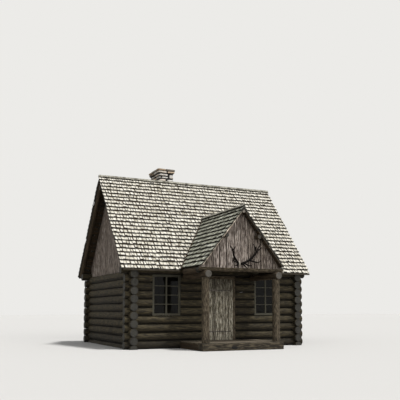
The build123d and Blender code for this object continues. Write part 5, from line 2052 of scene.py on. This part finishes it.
@dataclass
class Chimney(Part):
    """The fieldstone chimney: stones in rows round a mortar core, and two tiers of cap stones."""

    seed = 291
    row_h: float = 0.1
    joint: float = 0.042
    depth: float = 0.12
    bond: float = 0.8
    depths: Span = (0.85, 1.0)
    side_joints: Span = (0.4, 1.0)
    bed_joints: Span = (0.7, 1.5)
    deepest: float = 0.008
    stone_w: Span = (0.26, 0.42)
    stone_shift: float = 0.07
    round_w: float = 0.2
    core_in: float = 0.034
    core_low: float = 0.002
    flue_in: float = 0.004
    flue: Span = (0.13, 0.25)
    flue_deep: float = 0.6
    cap_t: float = 0.06
    cap_joint: float = 0.006
    corbel_in: float = 0.01
    bed: float = 0.02
    bed_in: float = 0.05

    def build(self) -> None:
        """Builds the stack, the top and the cap."""
        self._masonry("lower", "chimney_stack", StoneForm(around=10, rows=5), 0)
        self._masonry("upper", "chimney_top", StoneForm(around=16), 2)
        self._cap(*corners("chimney_cap"))

    def _masonry(self, word: str, node: str, form: StoneForm, round_rows: int) -> None:
        """Lays stones round a box.

        Args:
            word: What the piece's name says of it.
            node: The CAD node that they stand for.
            form: How the stones are shaped.
            round_rows: How many of the top rows one round stone spans on the right of the front.
        """
        low, high = box = corners(node)
        rng, maker = self.rng(round_rows), MeshMaker()
        self._core(maker, low, high, round_rows > 0)
        rows = max(1, round((high[2] - low[2]) / self.row_h))
        height = (high[2] - low[2]) / rows
        inset, round_from = self.depth * self.bond, high[0] - self.round_w
        for row in range(rows):
            z = low[2] + (row + 0.5) * height
            for axis, side in ((0, 0), (0, 1), (1, 0), (1, 1)):
                start, end = low[axis], high[axis]
                if (row + axis) % 2:
                    start, end = start + inset, end - inset
                if round_rows and row >= rows - round_rows and (axis, side) == (0, 0):
                    end = round_from
                for span in self._split(start, end, rng):
                    self._stone(maker, form, box, (axis, side), span, (z, height), rng)
        if round_rows:
            tall = round_rows * height
            self._stone(maker, StoneForm(around=22, rows=11, square=0.75), box, (0, 0),
                        (round_from, high[0]), (high[2] - tall / 2, tall), rng)
        maker.place(f"chimney_{word}_stones", (self.fin.stone, self.fin.mortar), Slot.STONE, node)

    def _stone(self, maker: MeshMaker, form: StoneForm, box: Box, face: tuple[int, int],
               span: Span, row: Span, rng: Rng) -> None:
        """Sets one stone in a face.

        Args:
            maker: The piece it belongs to.
            form: How it is shaped.
            box: The masonry's lowest and highest corner.
            face: The axis that the face runs along, and 0 for its low side or 1 for its high side.
            span: Where the stone starts and ends along the face.
            row: The row's middle height and how tall it is.
            rng: The source of chance.
        """
        axis, side = face
        deep = self.depth * rng.uniform(*self.depths)
        size, centre = vec(deep, deep, 0), vec(0, 0, row[0])
        size[axis] = span[1] - span[0] - self.joint * rng.uniform(*self.side_joints)
        size[2] = row[1] - self.joint * rng.uniform(*self.bed_joints)
        centre[axis] = sum(span) / 2
        sunk = deep / 2 + rng.uniform(0.0, self.deepest)
        centre[1 - axis] = box[side][1 - axis] + (1 - 2 * side) * sunk
        form.add(maker, centre, size, rng)

    def _split(self, start: float, end: float, rng: Rng) -> list[Span]:
        """Divides a row into stones of uneven length."""
        count = max(1, round((end - start) / rng.uniform(*self.stone_w)))
        marks = np.linspace(start, end, count + 1)
        marks[1:-1] += rng.uniform(-self.stone_shift, self.stone_shift, count - 1)
        return list(zip(marks[:-1], marks[1:]))

    @staticmethod
    def _rings(low: Array, high: Array, outline: Sequence[Place], steps: int) -> Array:
        """Gives a rectangular ring for each half width, half depth and height."""
        centre = (low + high) / 2
        turns = np.array([(1, -1), (1, 1), (-1, 1), (-1, -1), (1, -1)])
        sides = [a + (b - a) * t / steps for a, b in zip(turns, turns[1:]) for t in range(steps)]
        return np.array([[(centre[0] + x * wide, centre[1] + y * deep, z) for x, y in sides]
                         for wide, deep, z in outline])

    def _core(self, maker: MeshMaker, low: Array, high: Array, has_flue: bool) -> None:
        """Fills the middle with mortar, set back behind the stones, open where the flue is."""
        wide, deep = (high - low)[:2] / 2 - self.core_in
        top = high[2] - self.core_low
        outline = [(wide, deep, low[2]), (wide, deep, top)]
        if has_flue:
            outline += [(*self.flue, top), (*self.flue, high[2] - self.flue_deep)]
        rings = self._rings(low, high, outline, 4)
        grain = np.zeros((len(rings), rings.shape[1] + 1, 2))
        maker.grid(rings, grain, 0.4, finish=1, wrap=True)
        maker.polygon(rings[0], grain[0, :-1], 0.4, finish=1, flip=True)
        maker.polygon(rings[-1], grain[0, :-1], 0.1, finish=1)

    def _cap(self, low: Array, high: Array) -> None:
        """Lays the corbelled course and the thin slabs on it, both round the flue."""
        rng, maker = self.rng(7), MeshMaker()
        inset, bed = vec(self.corbel_in, self.corbel_in, 0.0), vec(0, 0, self.bed)
        top = high - vec(0, 0, self.cap_t)
        self._tier(maker, low + inset + bed, top - inset - bed,
                   StoneForm(around=20, square=0.36, rough=0.04), 0, rng)
        self._tier(maker, vec(low[0], low[1], top[2]), high,
                   StoneForm(around=22, square=0.26, rough=0.025), 1, rng)
        wide, deep = (high - low)[:2] / 2 - self.bed_in
        flue = [reach - self.flue_in for reach in self.flue]
        bottom, lid = low[2], top[2] + self.bed
        outline = [(wide, deep, bottom), (wide, deep, lid), (*flue, lid), (*flue, bottom),
                   (wide, deep, bottom)]
        maker.grid(self._rings(low, high, outline, 1), np.zeros((5, 5, 2)), 0.3, finish=2,
                   wrap=True)
        maker.place("chimney_cap_stones", (self.fin.stone, self.fin.cap_stone, self.fin.mortar),
                    Slot.STONE, "chimney_cap")

    def _tier(self, maker: MeshMaker, low: Array, high: Array, form: StoneForm, finish: int,
              rng: Rng) -> None:
        """Lays one tier of stones that reach from the outside to the flue.

        Args:
            maker: The piece they belong to.
            low: The tier's lowest corner.
            high: The tier's highest corner.
            form: How the stones are shaped.
            finish: The finish that they take.
            rng: The source of chance.
        """
        centre, tall = (low + high) / 2, high[2] - low[2]
        flue_x, flue_y = self.flue
        for side, outer in ((-1, low), (1, high)):
            edge = centre[1] + side * flue_y
            for a, b in self._split(low[0], high[0], rng):
                form.add(maker, vec((a + b) / 2, (edge + outer[1]) / 2, centre[2]),
                         vec(b - a - self.cap_joint, abs(outer[1] - edge), tall), rng, finish)
            edge = centre[0] + side * flue_x
            for a, b in self._split(centre[1] - flue_y, centre[1] + flue_y, rng):
                form.add(maker, vec((edge + outer[0]) / 2, (a + b) / 2, centre[2]),
                         vec(abs(outer[0] - edge), b - a - self.cap_joint, tall), rng, finish)


Knots = tuple[tuple[float, ...], ...]


@dataclass
class Antlers(Part):
    """Antlers on their skull plate, fixed to the porch gable.

    Each branch runs through points from the skull's foot: right, forward, up and thickness.
    """

    porch_x: float
    seed = 5
    rise: float = 0.085
    shift: float = -0.083
    girth: float = 1.25
    sharp: float = 60.0
    sides: int = 14
    thinnest: float = 0.7
    ridge_depth: float = 0.06
    tip: float = 0.5
    skull_at: Place = (-0.006, -0.056, 0.04)
    skull_size: Place = (0.066, 0.11, 0.168)
    left: tuple[Knots, ...] = (
        ((-0.02, 0.05, 0.05, 0.05), (-0.07, 0.085, 0.075, 0.06), (-0.12, 0.105, 0.13, 0.058),
         (-0.177, 0.12, 0.2, 0.054), (-0.228, 0.135, 0.295, 0.05), (-0.26, 0.14, 0.429, 0.042),
         (-0.337, 0.13, 0.572, 0.022)),
        ((-0.258, 0.14, 0.42, 0.038), (-0.215, 0.137, 0.478, 0.032), (-0.163, 0.13, 0.547, 0.02)),
        ((-0.11, 0.105, 0.11, 0.038), (-0.19, 0.145, 0.085, 0.032), (-0.245, 0.16, 0.13, 0.028),
         (-0.255, 0.16, 0.218, 0.018)),
        ((-0.06, 0.085, 0.06, 0.042), (-0.085, 0.13, 0.0, 0.036), (-0.1, 0.175, -0.091, 0.022)),
        ((-0.085, 0.11, 0.03, 0.034), (-0.14, 0.14, -0.015, 0.028),
         (-0.213, 0.16, -0.023, 0.018)))
    right: tuple[Knots, ...] = (
        ((0.02, 0.05, 0.04, 0.05), (0.06, 0.09, 0.045, 0.06), (0.12, 0.103, 0.07, 0.06),
         (0.22, 0.115, 0.113, 0.058), (0.327, 0.125, 0.176, 0.056), (0.436, 0.135, 0.278, 0.053),
         (0.527, 0.14, 0.383, 0.05), (0.6, 0.14, 0.46, 0.042), (0.67, 0.135, 0.505, 0.034),
         (0.75, 0.13, 0.557, 0.02)),
        ((0.54, 0.14, 0.4, 0.04), (0.515, 0.138, 0.5, 0.036), (0.505, 0.138, 0.549, 0.032),
         (0.439, 0.13, 0.652, 0.018)),
        ((0.585, 0.14, 0.46, 0.034), (0.607, 0.137, 0.541, 0.028), (0.66, 0.133, 0.605, 0.023),
         (0.71, 0.13, 0.655, 0.016)),
        ((0.3, 0.12, 0.155, 0.042), (0.38, 0.14, 0.13, 0.04), (0.45, 0.15, 0.118, 0.037),
         (0.559, 0.158, 0.091, 0.032), (0.64, 0.16, 0.115, 0.026), (0.704, 0.16, 0.156, 0.018)),
        ((0.14, 0.108, 0.07, 0.044), (0.238, 0.16, -0.006, 0.034), (0.3, 0.17, -0.012, 0.028),
         (0.373, 0.175, -0.003, 0.018)),
        ((0.09, 0.1, 0.055, 0.044), (0.152, 0.15, -0.035, 0.036), (0.212, 0.175, -0.101, 0.02)))

    def build(self) -> None:
        """Builds the antlers and the skull plate."""
        foot = vec(self.porch_x + self.shift, corners("porch_gable_boards")[0][1],
                   corners("tie_beam")[1][2] + self.rise)
        rng, maker, skull = self.rng(), MeshMaker(), MeshMaker()
        for branch in (*self.left, *self.right):
            self._horn(maker, foot, branch, rng)
        maker.place("antler_pair", (self.fin.antler,), Slot.ANTLER, "antlers", sharp=self.sharp)
        StoneForm(around=18, rows=11, square=0.8, rough=0.015).add(
            skull, foot + vec(*self.skull_at), vec(*self.skull_size), rng)
        skull.place("skull_plate", (self.fin.bone,), Slot.ANTLER)

    def _horn(self, maker: MeshMaker, foot: Array, knots: Knots, rng: Rng) -> None:
        """Adds one beam or tine through its points, with low ridges along it."""
        rows = np.array(knots) * (1, -1, 1, self.girth / 2) + (*foot, 0)
        line = smooth_path(rows, 8)
        thick = rows[:, 3]
        ridges = Ripple.make(rng, 1.0, 0.05, 0, 4).at(np.arange(len(line)) * 0.02)
        line[:, 3] = np.clip(line[:, 3], thick.min() * self.thinnest, thick.max())
        line[:, 3] *= 1.0 - self.ridge_depth * np.abs(ridges)
        line[-1, 3] *= self.tip
        tube(maker, line[:, :3], line[:, 3], self.sides,
             np.linspace(0, 1, len(line))[:, None] ** 6)


def seen_rays(n: Nodes) -> Any:
    """Gives 1 where the camera looks, also in a reflection or through glass, and 0 for light."""
    rays = n.add("LightPath")
    return n.math("MAXIMUM", rays["Is Camera Ray"],
                  n.math("MAXIMUM", rays["Is Glossy Ray"], rays["Is Transmission Ray"]))


@dataclass
class Lamp:
    """A far lamp: its strength, how softly it casts shadows, and its aim, in degrees."""

    name: str
    strength: float
    spread: float
    aim: Place
    stands_at: Place = (6.0, -8.0, 10.0)

    def hang(self, scene: bpy.types.Scene) -> None:
        """Hangs the lamp in the scene."""
        lamp = bpy.data.lights.new(self.name, "SUN")
        lamp.energy, lamp.angle = self.strength, math.radians(self.spread)
        stand = bpy.data.objects.new(self.name, lamp)
        stand.location = self.stands_at
        stand.rotation_euler = tuple(map(math.radians, self.aim))
        scene.collection.objects.link(stand)


@dataclass
class Studio:
    """Camera, soft lights, floor and pale background."""

    place_at: Place = (-8.6576, -19.1089, 1.1582)
    turn: float = -24.73
    tilt: float = 5.4
    lens: float = 54.64
    sensor: float = 36.0
    shift: float = 0.1325
    sight: float = 400.0
    lamps: tuple[Lamp, ...] = field(default_factory=lambda: (
        Lamp("key_lamp", 2.8, 7.0, (20.0, 0.0, 35.0)),
        Lamp("front_lamp", 1.45, 50.0, (75.0, 0.0, 12.0)),
        Lamp("fill_lamp", 0.38, 60.0, (58.0, 0.0, -60.0))))
    floor_reach: float = 140.0
    floor_drop: float = 0.0005
    floor_lit: Shade = (126, 121, 112)
    floor_seen: Shade = (210, 208, 204)
    sky: Colour = (0.92, 0.95, 1.0)
    sky_strength: float = 0.25
    backdrop: Shade = (236, 235, 232)

    def build(self) -> None:
        """Sets up the studio."""
        scene = bpy.context.scene
        scene.view_settings.view_transform = "Standard"
        camera = bpy.data.cameras.new("camera")
        camera.lens, camera.sensor_width, camera.shift_y = self.lens, self.sensor, self.shift
        camera.clip_end = self.sight
        stand = bpy.data.objects.new("camera", camera)
        scene.collection.objects.link(stand)
        stand.location = self.place_at
        stand.rotation_euler = (math.radians(90 + self.tilt), 0.0, math.radians(self.turn))
        scene.camera = stand
        for lamp in self.lamps:
            lamp.hang(scene)
        self._floor()
        self._world(scene)

    def _floor(self) -> None:
        """Lays a plain pale floor."""
        maker = MeshMaker()
        marks = np.linspace(-self.floor_reach, self.floor_reach, 9)
        sheet = np.array([[(x, y, -self.floor_drop) for x in marks] for y in marks])
        maker.grid(sheet, sheet[..., :2])
        material, n, shader = Finish("studio_floor").start()
        colour = n.mix(seen_rays(n), linear(self.floor_lit), linear(self.floor_seen))
        n.set(shader["Base Color"], colour)
        shader["Roughness"].default_value = 0.9
        shader["Specular IOR Level"].default_value = 0.1
        maker.build("studio_floor", (material,))

    def _world(self, scene: bpy.types.Scene) -> None:
        """Lights the cabin evenly and shows a pale background to the camera and in glass."""
        world = bpy.data.worlds.new("studio")
        world.use_nodes = True
        scene.world = world
        n, nodes = Nodes(world.node_tree), world.node_tree.nodes
        sky = nodes["Background"]
        sky.inputs[0].default_value = (*self.sky, 1.0)
        sky.inputs[1].default_value = self.sky_strength
        shown = n.add("Background", {0: (*linear(self.backdrop), 1.0), 1: 1.0})
        both = n.add("MixShader", {0: seen_rays(n), 1: sky.outputs[0], 2: shown[0]})
        n.set(nodes["World Output"].inputs[0], both[0])


def main() -> None:
    logging.basicConfig(level=logging.INFO, format="%(name)s %(message)s")
    Studio().build()
    fin = Finishes()
    roof = MainRoof(fin)
    LogWalls(fin).build()
    roof.build()
    Gables(fin, roof).build()
    Porch(fin, roof).build()
    Floors(fin).build()
    Door(fin).build()
    Windows(fin).build()
    Chimney(fin).build()
    Antlers(fin, roof.porch_x).build()


if __name__ == "__main__":
    main()
